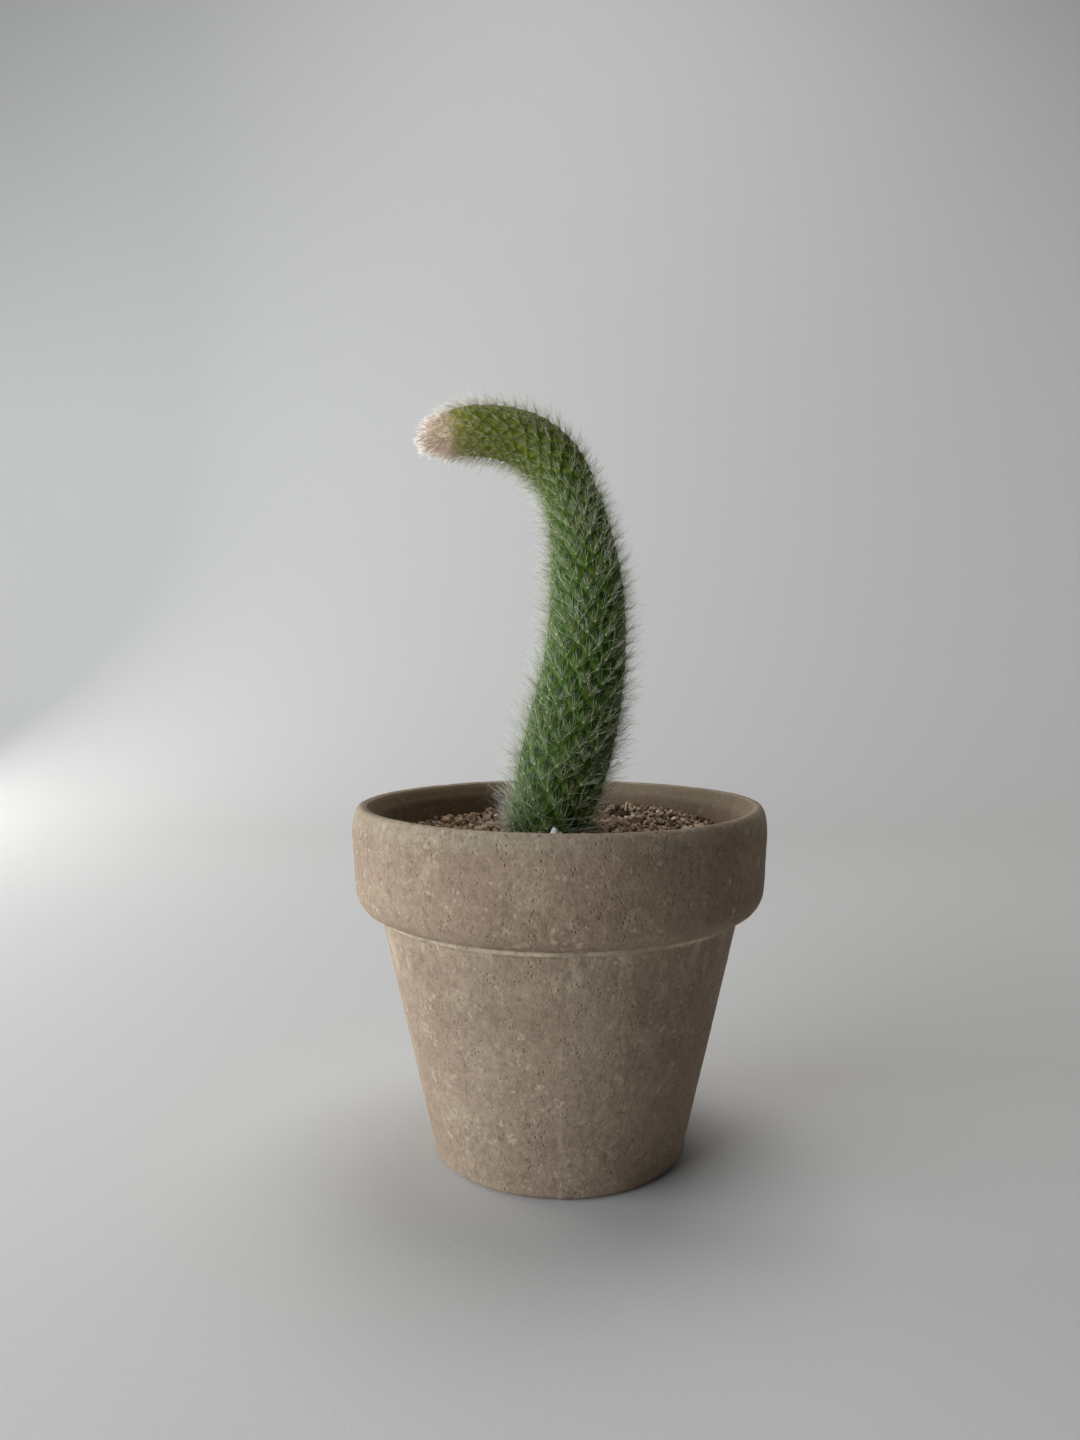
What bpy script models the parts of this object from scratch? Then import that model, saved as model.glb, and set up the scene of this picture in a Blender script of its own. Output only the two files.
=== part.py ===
"""Potted monkey tail cactus: a single trailing-type stem that has grown upright and
hooked over at its tip, rooted in gritty mix in a rimmed unglazed clay pot.

Units are metres, +Z is up, the origin is the centre of the pot's underside, the
stem leans along X and its hook points to -X. Front is -Y.
"""

import math
import random

import bmesh
import bpy
import numpy as np
from mathutils import Matrix, Vector
from mathutils.bvhtree import BVHTree

MM = 0.001
GAP = 0.3 * MM            # clearance left between pieces that touch

# ---- pot ---------------------------------------------------------------
POT_HEIGHT = 101.1 * MM   # underside to the crest of the lip
RIM_R = 60.0 * MM         # widest outer radius, at the top of the collar
BASE_R = 36.8 * MM        # outer radius of the flat underside
NECK_R = 52.3 * MM        # body radius where the collar starts
NECK_Z = 71.2 * MM
COLLAR_LOW_R = 59.2 * MM  # collar side, above its rounded underside
COLLAR_LOW_Z = 78.3 * MM
COLLAR_TOP_Z = 93.3 * MM  # where the lip begins to round over
CREST_R = 57.8 * MM
WALL = 5.1 * MM           # wall thickness, measured level
FLOOR = 7.0 * MM
HOLE_R = 8.5 * MM         # drainage hole
FOOT_ROUND = 1.6 * MM
STEPS = 64
TAPER = (NECK_R - BASE_R) / NECK_Z

# ---- filling -----------------------------------------------------------
NET_R = 17.0 * MM
NET_T = 1.2 * MM
NET_PITCH = 4.8 * MM
NET_OPEN = 3.2 * MM
MIX_TOP = 79.0 * MM
DRESS_TOP = 89.7 * MM     # mean height of the grit's hollows and crowns
MOUND = 2.3 * MM          # grit heaped against the stem
MOUND_REACH = 9.0 * MM
LUMP = 1.5 * MM           # full height of the lumps in the grit

# ---- stem: lean from upright (degrees, + to the right) against length grown
SOIL_X, SOIL_Z = -4.8 * MM, 91.0 * MM
LEAN_AT = (0.0, 20.0, 40.0, 60.0, 80.0, 95.0, 107.0, 118.0, 130.0, 150.0)
LEAN = (19.1, 13.9, 11.6, 3.1, -5.6, -13.3, -27.1, -54.2, -80.4, -113.5)
SWAY_AT = (0.0, 45.0, 95.0, 125.0, 150.0)
SWAY = (0.0, -1.8, 1.2, 0.2, -3.0)     # out of the hook's plane, mm
GIRTH_AT = (-22.0, -14.0, -6.0, 0.0, 14.0, 26.0, 42.0, 60.0, 79.0, 95.0, 107.0, 121.0, 135.0, 150.0)
GIRTH = (2.4, 5.6, 9.0, 10.3, 12.4, 13.1, 12.6, 11.45, 10.2, 8.5, 8.15, 8.2, 7.4, 7.2)
CROWN_DEPTH = 22.0        # buried root crown, mm
TIP_FROM, STEM_LENGTH = 137.0, 150.3
STEM_SIDES = 24


def spline(xs, ys):
    """Natural cubic through the given knots, as a function."""
    x, y = np.array(xs, float), np.array(ys, float)
    n, h = len(x), np.diff(x)
    a, b = np.eye(n), np.zeros(n)
    for i in range(1, n - 1):
        a[i, i - 1:i + 2] = h[i - 1], 2 * (h[i - 1] + h[i]), h[i]
        b[i] = 6 * ((y[i + 1] - y[i]) / h[i] - (y[i] - y[i - 1]) / h[i - 1])
    m = np.linalg.solve(a, b)

    def at(v):
        i = min(max(int(np.searchsorted(x, v)) - 1, 0), n - 2)
        t, u = x[i + 1] - v, v - x[i]
        return float(
            (m[i] * t ** 3 + m[i + 1] * u ** 3) / (6 * h[i])
            + (y[i] / h[i] - m[i] * h[i] / 6) * t
            + (y[i + 1] / h[i] - m[i + 1] * h[i] / 6) * u
        )
    return at


def linear_rgb(r, g, b):
    return tuple((c / 255 / 12.92) if c <= 10 else ((c / 255 + 0.055) / 1.055) ** 2.4 for c in (r, g, b))


def material(name, srgb, rough, metallic=0.0):
    mat = bpy.data.materials.new(name)
    mat.use_nodes = True
    bsdf = mat.node_tree.nodes["Principled BSDF"]
    colour = (*linear_rgb(*srgb), 1.0)
    bsdf.inputs["Base Color"].default_value = colour
    bsdf.inputs["Roughness"].default_value = rough
    bsdf.inputs["Metallic"].default_value = metallic
    mat.diffuse_color = colour
    return mat


for old in list(bpy.data.objects):
    bpy.data.objects.remove(old, do_unlink=True)

parts = bpy.data.collections.new("potted_monkey_tail_cactus")
cutters = bpy.data.collections.new("cutters")
bpy.context.scene.collection.children.link(parts)
bpy.context.scene.collection.children.link(cutters)

root = bpy.data.objects.new("potted_cactus_frame", None)
parts.objects.link(root)


def add(name, data, mat, collection=parts):
    ob = bpy.data.objects.new(name, data)
    collection.objects.link(ob)
    if collection is parts:
        ob.parent = root
        data.materials.append(mat)
    else:
        ob.hide_render = True
        ob.display_type = "WIRE"
    return ob


def arc(cx, cz, rx, rz, start, end, count):
    """Points on an ellipse from start to end degrees, ends left out."""
    for i in range(1, count):
        a = math.radians(start + (end - start) * i / count)
        yield cx + rx * math.cos(a), cz + rz * math.sin(a)


def inner_r(z):
    """Inside radius of the pot: the wall follows the body's taper all the way up."""
    return BASE_R + TAPER * z - WALL


def turned(name, profile, mat, closed, top_points=()):
    """A profile at +X, run down its outer side, spun by a Screw modifier."""
    mesh = bpy.data.meshes.new(name)
    edges = [(i, i + 1) for i in range(len(profile) - 1)]
    if closed:
        edges.append((len(profile) - 1, 0))
    mesh.from_pydata([(r, 0.0, z) for r, z in profile], edges, [])
    ob = add(name, mesh, mat)
    screw = ob.modifiers.new("spin", "SCREW")
    screw.angle = math.tau
    screw.steps = screw.render_steps = STEPS
    screw.use_merge_vertices = True
    screw.merge_threshold = 0.00002
    screw.use_smooth_shade = True
    if top_points:
        group = ob.vertex_groups.new(name="top")
        group.add(list(top_points), 1.0, "REPLACE")
    return ob


# ---- pot ---------------------------------------------------------------
LIP_IN_Z = POT_HEIGHT - 2.6 * MM
lip_in_r = inner_r(LIP_IN_Z) + 0.9 * MM
pot_profile = [(CREST_R, POT_HEIGHT)]
pot_profile += arc(CREST_R, COLLAR_TOP_Z, RIM_R - CREST_R, POT_HEIGHT - COLLAR_TOP_Z, 90, 0, 5)
pot_profile += [(RIM_R, COLLAR_TOP_Z), (COLLAR_LOW_R, COLLAR_LOW_Z)]
pot_profile += arc(NECK_R, COLLAR_LOW_Z, COLLAR_LOW_R - NECK_R, COLLAR_LOW_Z - NECK_Z, 0, -90, 5)
pot_profile += [(NECK_R, NECK_Z)]
pot_profile += [(BASE_R + TAPER * FOOT_ROUND * 1.6, FOOT_ROUND * 1.6)]
pot_profile += [(BASE_R - FOOT_ROUND * 0.25, FOOT_ROUND * 0.35), (BASE_R - FOOT_ROUND, 0.0)]
pot_profile += [(HOLE_R + 0.8 * MM, 0.0), (HOLE_R, 0.8 * MM), (HOLE_R, FLOOR)]
pot_profile += [(inner_r(FLOOR), FLOOR), (lip_in_r - 0.9 * MM, LIP_IN_Z)]
pot_profile += arc(CREST_R, LIP_IN_Z, CREST_R - lip_in_r, POT_HEIGHT - LIP_IN_Z, 180, 90, 4)
turned("pot", pot_profile, material("unglazed_clay", (133, 117, 102), 0.92), closed=True)

# ---- drainage net over the hole ---------------------------------------
net = bpy.data.curves.new("drainage_mesh", "CURVE")
net.dimensions = "2D"
net.fill_mode = "BOTH"
net.extrude = NET_T / 2


def outline(points):
    s = net.splines.new("POLY")
    s.points.add(len(points) - 1)
    for p, (x, y) in zip(s.points, points):
        p.co = (x, y, 0.0, 1.0)
    s.use_cyclic_u = True


outline([(NET_R * math.cos(a * math.tau / 40), NET_R * math.sin(a * math.tau / 40)) for a in range(40)])
for i in range(-3, 4):
    for j in range(-3, 4):
        x, y, h = i * NET_PITCH, j * NET_PITCH, NET_OPEN / 2
        if math.hypot(abs(x) + h, abs(y) + h) < NET_R - 0.8 * MM:
            outline([(x - h, y - h), (x + h, y - h), (x + h, y + h), (x - h, y + h)])
net_ob = add("drainage_mesh", net, material("net_plastic", (38, 40, 40), 0.6))
net_ob.location.z = FLOOR + GAP + NET_T / 2

# ---- stem --------------------------------------------------------------
lean, sway, girth = spline(LEAN_AT, LEAN), spline(SWAY_AT, SWAY), spline(GIRTH_AT, GIRTH)


def stem_radius(s):
    if s <= TIP_FROM:
        return girth(s)
    u = min((s - TIP_FROM) / (STEM_LENGTH - TIP_FROM), 1.0)
    return girth(TIP_FROM) * math.sqrt(max(1 - u * u, 0.0))


def stem_stations():
    """Lengths at which the stem gets a ring: even, then closer round the tip."""
    out, s = [], -CROWN_DEPTH
    while s < 92.0:
        out.append(s)
        s += 3.8
    while s < TIP_FROM:
        out.append(s)
        s += 2.6
    tip = STEM_LENGTH - TIP_FROM
    out += [TIP_FROM + tip * math.sin(math.radians(a)) for a in (0, 14, 28, 42, 55, 67, 78, 87)]
    return out


def stem_path(step=0.25):
    """Centreline by walking along the lean angle: lists of length and position."""
    where, x, z = {0.0: (SOIL_X, 0.0, SOIL_Z)}, SOIL_X, SOIL_Z
    for i in range(int(STEM_LENGTH / step) + 4):
        s = i * step
        a = math.radians(lean(s + step / 2))
        x += math.sin(a) * step * MM
        z += math.cos(a) * step * MM
        where[s + step] = (x, sway(min(s + step, STEM_LENGTH)) * MM, z)
    x, z = SOIL_X, SOIL_Z
    for i in range(int(CROWN_DEPTH / step) + 2):
        s = -i * step
        a = math.radians(LEAN[0] * max(1 + (s - step / 2) / 30.0, 0.2))
        x -= math.sin(a) * step * MM
        z -= math.cos(a) * step * MM
        where[s - step] = (x, 0.0, z)
    keys = sorted(where)
    return np.array(keys), np.array([where[k] for k in keys])


PATH_S, PATH_P = stem_path()


def stem_point(s):
    return tuple(float(np.interp(s, PATH_S, PATH_P[:, k])) for k in range(3))


def stem_tube(name, grow, mat, collection):
    """The stem as a bevelled curve of changing radius, made a mesh with its caps welded."""
    curve = bpy.data.curves.new(name + "_curve", "CURVE")
    curve.dimensions = "3D"
    curve.bevel_depth = 1.0 * MM
    curve.bevel_resolution = (STEM_SIDES - 4) // 2
    curve.use_fill_caps = True
    stations = stem_stations()
    line = curve.splines.new("POLY")
    line.points.add(len(stations) - 1)
    for p, s in zip(line.points, stations):
        p.co = (*stem_point(s), 1.0)
        p.radius = stem_radius(s) + grow
    guide = bpy.data.objects.new(name + "_guide", curve)
    cutters.objects.link(guide)
    bpy.context.view_layer.update()
    mesh = bpy.data.meshes.new_from_object(guide.evaluated_get(bpy.context.evaluated_depsgraph_get()))
    place = guide.matrix_world.copy()
    bpy.data.objects.remove(guide, do_unlink=True)
    bm = bmesh.new()
    bm.from_mesh(mesh)
    bmesh.ops.remove_doubles(bm, verts=bm.verts, dist=0.00001)
    bmesh.ops.recalc_face_normals(bm, faces=bm.faces)
    bm.to_mesh(mesh)
    bm.free()
    mesh.name = name
    ob = add(name, mesh, mat, collection)
    ob.matrix_world = place
    return ob


stem = stem_tube("cactus_stem", 0.0, material("stem_skin", (74, 96, 42), 0.55), parts)
stem.data.shade_smooth()
stem_cut = stem_tube("stem_clearance", GAP / MM, None, cutters)


def cut(ob, cutter):
    mod = ob.modifiers.new("clear_" + cutter.name, "BOOLEAN")
    mod.operation = "DIFFERENCE"
    mod.solver = "EXACT"
    mod.object = cutter


# ---- potting mix: fills the pot, stepped over the net -------------------
net_top = FLOOR + GAP + NET_T
mix_low = FLOOR + GAP
mix = turned("potting_mix", [
    (0.0, MIX_TOP),
    (inner_r(MIX_TOP) - GAP * 1.2, MIX_TOP),
    (inner_r(mix_low) - GAP * 1.2, mix_low),
    (NET_R + GAP * 1.5, mix_low),
    (NET_R + GAP * 1.5, net_top + GAP),
    (0.0, net_top + GAP),
], material("gritty_mix", (74, 58, 46), 0.95), closed=False)
cut(mix, stem_cut)

# ---- top dressing: lumpy layer of grit, heaped at the stem --------------
RINGS = 11
dress_low = MIX_TOP + GAP
dress_r = inner_r(DRESS_TOP) - GAP * 1.5


def mound(r):
    d = max(r - 12.0 * MM, 0.0)
    return MOUND * math.exp(-(d / MOUND_REACH) ** 2)


dress_profile = [(dress_r * i / RINGS, DRESS_TOP + mound(dress_r * i / RINGS)) for i in range(RINGS + 1)]
dress_profile += [(inner_r(dress_low) - GAP * 1.5, dress_low), (0.0, dress_low)]
dress = turned("top_dressing", dress_profile, material("grit", (133, 112, 92), 0.95), closed=False,
               top_points=range(1, RINGS))
lumps = bpy.data.textures.new("grit_lumps", "CLOUDS")
lumps.noise_scale = 0.006
lumps.noise_depth = 1
heave = dress.modifiers.new("lumps", "DISPLACE")
heave.texture = lumps
heave.texture_coords = "LOCAL"
heave.direction = "Z"
heave.vertex_group = "top"
heave.strength = LUMP
heave.mid_level = 0.5
cut(dress, stem_cut)

# ---- pieces lying on the grit -------------------------------------------
# name: (x, y, size along/across/thick in mm, turn, tilt, colour)
LYING = {
    "perlite_pellet": ((-0.7, -13.9), (3.0, 2.5, 2.7), 8, 0, (222, 216, 206)),
    "bark_chip": ((20.3, 37.2), (6.2, 4.2, 3.4), 155, 12, (58, 43, 44)),
    "pale_grain": ((26.6, 36.6), (3.8, 3.3, 3.0), 0, 5, (196, 176, 152)),
    "grey_green_grain": ((-46.6, 6.0), (4.9, 4.2, 3.9), 60, 0, (118, 118, 98)),
}
BIG_GRAIN_SPOTS = ((-23.1, 42.0), (-35.9, 25.6), (44.0, 9.4), (37.5, 24.0))
GRAIN_SHADES = ((146, 122, 100), (116, 92, 74), (160, 138, 116), (98, 80, 66), (132, 106, 88))
rng = random.Random(41)
for k, (x, y) in enumerate(BIG_GRAIN_SPOTS):
    LYING[f"grit_grain_{k + 1}"] = ((x, y), (4.6 + rng.random(), 4.0 + 0.6 * rng.random(), 3.4 + 0.6 * rng.random()),
                                    rng.uniform(0, 180), rng.uniform(-8, 8), GRAIN_SHADES[k % 5])
for k in range(6):        # the same kind of grains round the rest of the surface
    a = math.radians(196 + 27 * k)
    r = 27.0 + 18.0 * ((k * 0.618) % 1.0)
    LYING[f"grit_grain_{k + 5}"] = ((r * math.cos(a), r * math.sin(a)),
                                    (4.2 + rng.random(), 3.8 + 0.7 * rng.random(), 3.2 + 0.6 * rng.random()),
                                    rng.uniform(0, 180), rng.uniform(-8, 8), GRAIN_SHADES[(k + 2) % 5])


def chipped(bm, seed, amount):
    """Push the points of a rounded body in and out, so it reads as a broken grain."""
    r = random.Random(seed)
    for v in bm.verts:
        v.co *= 1.0 + r.uniform(-amount, amount)


def ground(deps):
    return BVHTree.FromObject(dress, deps)


def settle(ob, tree):
    """Height at which the lowest points stand one gap clear of the grit below."""
    lift = -1.0
    inverse = ob.matrix_world.inverted()
    low = min((ob.matrix_world @ v.co).z for v in ob.data.vertices)
    for v in ob.data.vertices:
        p = ob.matrix_world @ v.co
        hit = tree.ray_cast(Vector((p.x, p.y, 0.2)), Vector((0, 0, -1)))[0]
        if hit:
            lift = max(lift, hit.z - p.z)
    own = BVHTree.FromPolygons([ob.matrix_world @ v.co for v in ob.data.vertices],
                               [tuple(p.vertices) for p in ob.data.polygons])
    reach = max(ob.dimensions)
    steps = 24
    for i in range(steps + 1):
        for j in range(steps + 1):
            x = ob.location.x + reach * (i / steps - 0.5)
            y = ob.location.y + reach * (j / steps - 0.5)
            under = own.ray_cast(Vector((x, y, low - 0.01)), Vector((0, 0, 1)))[0]
            floor = tree.ray_cast(Vector((x, y, 0.2)), Vector((0, 0, -1)))[0]
            if under and floor:
                lift = max(lift, floor.z - under.z)
    return lift + GAP


bpy.context.view_layer.update()
grit_top = ground(bpy.context.evaluated_depsgraph_get())
for number, (name, (spot, size, turn, tilt, shade)) in enumerate(LYING.items()):
    mesh = bpy.data.meshes.new(name)
    bm = bmesh.new()
    bmesh.ops.create_icosphere(bm, subdivisions=2 if name == "perlite_pellet" else 1, radius=0.5 * MM)
    chipped(bm, 7 + number, 0.08)
    bmesh.ops.scale(bm, vec=Vector(size) * 1.12, verts=bm.verts)
    if name != "perlite_pellet":
        bmesh.ops.bevel(bm, geom=list(bm.edges), offset=0.25 * MM, segments=1, affect="EDGES", clamp_overlap=True)
    bmesh.ops.rotate(bm, cent=(0, 0, 0), matrix=Matrix.Rotation(math.radians(tilt), 3, "X"), verts=bm.verts)
    bmesh.ops.rotate(bm, cent=(0, 0, 0), matrix=Matrix.Rotation(math.radians(turn), 3, "Z"), verts=bm.verts)
    bm.to_mesh(mesh)
    bm.free()
    piece = add(name, mesh, material(name + "_stone", shade, 0.92))
    piece.location = (spot[0] * MM, spot[1] * MM, 100 * MM)
    bpy.context.view_layer.update()
    piece.location.z += settle(piece, grit_top)

# ---- a sliver of wood standing in the grit ------------------------------
SLIVER_AT = (22.3 * MM, 41.2 * MM)
SLIVER_Z = 92.4 * MM
SLIVER_SIZE = (1.9, 1.4, 7.0)


def sliver(name, grow, mat, collection):
    mesh = bpy.data.meshes.new(name)
    bm = bmesh.new()
    bmesh.ops.create_cone(bm, cap_ends=True, segments=7, radius1=0.5 * MM, radius2=0.26 * MM, depth=1.0 * MM)
    bmesh.ops.scale(bm, vec=Vector([n + grow for n in SLIVER_SIZE]), verts=bm.verts)
    bm.to_mesh(mesh)
    bm.free()
    ob = add(name, mesh, mat, collection)
    ob.location = (*SLIVER_AT, SLIVER_Z)
    ob.rotation_euler = (math.radians(-6), math.radians(11), math.radians(25))
    return ob


sliver("wood_sliver", 0.0, material("dry_wood", (206, 190, 160), 0.85), parts)
cut(dress, sliver("sliver_clearance", 2 * GAP / MM, None, cutters))

cutters.hide_render = True
bpy.context.view_layer.update()
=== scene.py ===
"""Looks of the potted monkey tail cactus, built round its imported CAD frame.

Metres, +Z up, the same frame as the CAD: the origin is under the pot, -Y is the front.
"""

import math

import bmesh
import bpy
import numpy as np
from mathutils import Matrix, Vector


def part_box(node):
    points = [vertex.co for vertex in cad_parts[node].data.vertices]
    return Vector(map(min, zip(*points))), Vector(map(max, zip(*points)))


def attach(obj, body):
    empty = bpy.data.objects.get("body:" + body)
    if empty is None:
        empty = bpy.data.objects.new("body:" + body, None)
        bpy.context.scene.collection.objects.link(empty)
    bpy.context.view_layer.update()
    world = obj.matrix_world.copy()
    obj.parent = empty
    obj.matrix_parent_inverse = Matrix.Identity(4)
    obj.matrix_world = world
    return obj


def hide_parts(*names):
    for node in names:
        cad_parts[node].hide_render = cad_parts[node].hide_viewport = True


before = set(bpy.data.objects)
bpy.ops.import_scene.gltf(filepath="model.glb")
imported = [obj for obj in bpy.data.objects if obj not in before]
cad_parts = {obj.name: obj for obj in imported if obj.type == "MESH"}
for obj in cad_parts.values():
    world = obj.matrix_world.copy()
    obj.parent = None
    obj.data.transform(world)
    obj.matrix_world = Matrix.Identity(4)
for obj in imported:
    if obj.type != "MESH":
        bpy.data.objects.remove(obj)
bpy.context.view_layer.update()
MM = 0.001
TAU = math.tau


# =====================================================================
# small tools
# =====================================================================
def rng_of(seed):
    return np.random.RandomState(seed)


def lin(r, g, b):
    """sRGB 0-255 to the linear numbers that a shader takes."""
    return tuple((c / 255 / 12.92) if c <= 10 else ((c / 255 + 0.055) / 1.055) ** 2.4 for c in (r, g, b)) + (1.0,)


def smooth(t):
    t = np.clip(t, 0.0, 1.0)
    return t * t * (3 - 2 * t)


def cell_hash(i, j, k, seed):
    with np.errstate(over="ignore"):
        h = (i.astype(np.uint32) * np.uint32(374761393) + j.astype(np.uint32) * np.uint32(668265263)
             + k.astype(np.uint32) * np.uint32(2246822519) + np.uint32((seed * 1274126177) & 0xFFFFFFFF))
        h = (h ^ (h >> np.uint32(13))) * np.uint32(1274126177)
        h = h ^ (h >> np.uint32(16))
    return h.astype(np.float64) / 4294967295.0


def noise3(p, size, seed=0):
    """Smooth noise from -1 to 1 in cells of the given size."""
    q = np.asarray(p, float) / size
    i = np.floor(q).astype(np.int64)
    f = q - i
    f = f * f * (3 - 2 * f)
    i = i & 0xFFFFFFF
    total = 0.0
    for dx in (0, 1):
        for dy in (0, 1):
            for dz in (0, 1):
                w = (f[:, 0] if dx else 1 - f[:, 0]) * (f[:, 1] if dy else 1 - f[:, 1]) * (f[:, 2] if dz else 1 - f[:, 2])
                total = total + w * cell_hash(i[:, 0] + dx, i[:, 1] + dy, i[:, 2] + dz, seed)
    return total * 2 - 1


def fractal(p, size, octaves=3, seed=0):
    out, amp, norm = 0.0, 1.0, 0.0
    for o in range(octaves):
        out = out + amp * noise3(p, size / 2 ** o, seed + 17 * o)
        norm += amp
        amp *= 0.5
    return out / norm


def mesh_of(name, verts, faces, mat, smooth_shade=True, uv=None, colours=None, face_mats=None):
    """One mesh object. faces is a list of index arrays, each (n, 3) or (n, 4)."""
    me = bpy.data.meshes.new(name)
    verts = np.asarray(verts, np.float32)
    faces = [np.asarray(f, np.int32) for f in faces if len(f)]
    loops = np.concatenate([f.ravel() for f in faces])
    sizes = np.concatenate([np.full(len(f), f.shape[1], np.int32) for f in faces])
    starts = np.concatenate([[0], np.cumsum(sizes)[:-1]]).astype(np.int32)
    me.vertices.add(len(verts))
    me.vertices.foreach_set("co", verts.ravel())
    me.loops.add(len(loops))
    me.loops.foreach_set("vertex_index", loops)
    me.polygons.add(len(sizes))
    me.polygons.foreach_set("loop_start", starts)
    me.polygons.foreach_set("loop_total", sizes)
    me.polygons.foreach_set("use_smooth", np.full(len(sizes), bool(smooth_shade)))
    if face_mats is not None:
        me.polygons.foreach_set("material_index", np.asarray(face_mats, np.int32))
    me.update(calc_edges=True)
    if uv is not None:
        layer = me.uv_layers.new(name="OFBake")
        layer.uv.foreach_set("vector", np.asarray(uv, np.float32).ravel())
    for key, values in (colours or {}).items():
        a = me.color_attributes.new(name=key, type="FLOAT_COLOR", domain="POINT")
        rgba = np.ones((len(verts), 4), np.float32)
        values = np.asarray(values, np.float32)
        if values.ndim == 1:
            values = values[:, None].repeat(3, 1)
        rgba[:, :3] = values
        a.data.foreach_set("color", rgba.ravel())
    me.validate()
    for m in mat if isinstance(mat, (list, tuple)) else [mat]:
        me.materials.append(m)
    ob = bpy.data.objects.new(name, me)
    bpy.context.scene.collection.objects.link(ob)
    return ob


class Nodes:
    """A short way to write a material's nodes."""

    def __init__(self, name):
        self.mat = bpy.data.materials.new(name)
        self.mat.use_nodes = True
        self.nt = self.mat.node_tree
        self.bsdf = self.nt.nodes["Principled BSDF"]
        self.out = self.nt.nodes["Material Output"]
        self.coord = self.nt.nodes.new("ShaderNodeTexCoord").outputs["Object"]

    def add(self, kind, **values):
        n = self.nt.nodes.new("ShaderNode" + kind)
        for k, v in values.items():
            if k in n.inputs and not hasattr(n, k):
                self.put(n.inputs[k], v)
            else:
                setattr(n, k, v)
        return n

    def put(self, socket, v):
        if isinstance(v, bpy.types.NodeSocket):
            self.nt.links.new(v, socket)
        else:
            socket.default_value = v

    def scaled(self, x, y, z, source=None):
        n = self.add("Mapping")
        self.put(n.inputs["Vector"], source or self.coord)
        n.inputs["Scale"].default_value = (x, y, z)
        return n.outputs["Vector"]

    def noise(self, scale, detail=2.0, rough=0.5, vector=None, distortion=0.0):
        n = self.add("TexNoise")
        self.put(n.inputs["Vector"], vector or self.coord)
        n.inputs["Scale"].default_value = scale
        n.inputs["Detail"].default_value = detail
        n.inputs["Roughness"].default_value = rough
        n.inputs["Distortion"].default_value = distortion
        return n.outputs["Fac"]

    def voronoi(self, scale, vector=None, feature="F1", randomness=1.0, output="Distance"):
        n = self.add("TexVoronoi")
        n.feature = feature
        self.put(n.inputs["Vector"], vector or self.coord)
        n.inputs["Scale"].default_value = scale
        n.inputs["Randomness"].default_value = randomness
        return n.outputs[output]

    def ramp(self, fac, stops, ease="LINEAR"):
        n = self.add("ValToRGB")
        n.color_ramp.interpolation = ease
        e = n.color_ramp.elements
        while len(e) > 1:
            e.remove(e[-1])
        e[0].position, e[0].color = stops[0][0], self.rgba(stops[0][1])
        for pos, c in stops[1:]:
            x = e.new(pos)
            x.color = self.rgba(c)
        self.put(n.inputs["Fac"], fac)
        return n.outputs["Color"]

    @staticmethod
    def rgba(c):
        return (c, c, c, 1.0) if isinstance(c, (int, float)) else tuple(c)

    def mix(self, fac, a, b, blend="MIX"):
        n = self.add("Mix")
        n.data_type = "RGBA"
        n.blend_type = blend
        n.clamp_factor = True
        for socket, v in ((n.inputs[0], fac), (n.inputs[6], a), (n.inputs[7], b)):
            self.put(socket, self.rgba(v) if not isinstance(v, bpy.types.NodeSocket) and socket.type == "RGBA" else v)
        return n.outputs[2]

    def math(self, op, a, b=0.5, clamp=False):
        n = self.add("Math")
        n.operation = op
        n.use_clamp = clamp
        self.put(n.inputs[0], a)
        self.put(n.inputs[1], b)
        return n.outputs[0]

    def remap(self, v, lo, hi, to_lo=0.0, to_hi=1.0):
        n = self.add("MapRange")
        n.interpolation_type = "SMOOTHSTEP"
        self.put(n.inputs["Value"], v)
        n.inputs["From Min"].default_value = lo
        n.inputs["From Max"].default_value = hi
        n.inputs["To Min"].default_value = to_lo
        n.inputs["To Max"].default_value = to_hi
        return n.outputs["Result"]

    def attribute(self, name, output="Color"):
        n = self.add("Attribute")
        n.attribute_name = name
        return n.outputs[output]

    def split(self, vector):
        n = self.add("SeparateXYZ")
        self.put(n.inputs[0], vector)
        return n.outputs

    def bump(self, height, distance, strength=1.0, normal=None):
        n = self.add("Bump")
        n.inputs["Strength"].default_value = strength
        n.inputs["Distance"].default_value = distance
        self.put(n.inputs["Height"], height)
        if normal is not None:
            self.put(n.inputs["Normal"], normal)
        return n.outputs["Normal"]

    def finish(self, colour, rough, normal=None, **sockets):
        self.put(self.bsdf.inputs["Base Color"], colour)
        self.put(self.bsdf.inputs["Roughness"], rough)
        if normal is not None:
            self.put(self.bsdf.inputs["Normal"], normal)
        for k, v in sockets.items():
            self.bsdf.inputs[k.replace("_", " ")].default_value = v
        return self.mat


# =====================================================================
# camera, light, surface
# =====================================================================
scene = bpy.context.scene
scene.view_settings.view_transform = "Standard"
scene.view_settings.look = "None"
scene.view_settings.exposure = 0.0

PITCH, YAW = math.radians(2.85), math.radians(1.106)
camera = bpy.data.cameras.new("camera")
camera.lens = 25.0
camera.sensor_width = 36.0
camera.clip_start = 0.01
camera_ob = bpy.data.objects.new("camera", camera)
camera_ob.location = (0.0, -0.29352, 0.13974)
camera_ob.rotation_euler = (math.pi / 2 - PITCH, 0.0, YAW)
scene.collection.objects.link(camera_ob)
scene.camera = camera_ob

world = bpy.data.worlds.new("studio")
world.use_nodes = True
world.node_tree.nodes["Background"].inputs["Color"].default_value = (1.0, 0.78, 0.56, 1.0)
world.node_tree.nodes["Background"].inputs["Strength"].default_value = 0.006
scene.world = world


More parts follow.
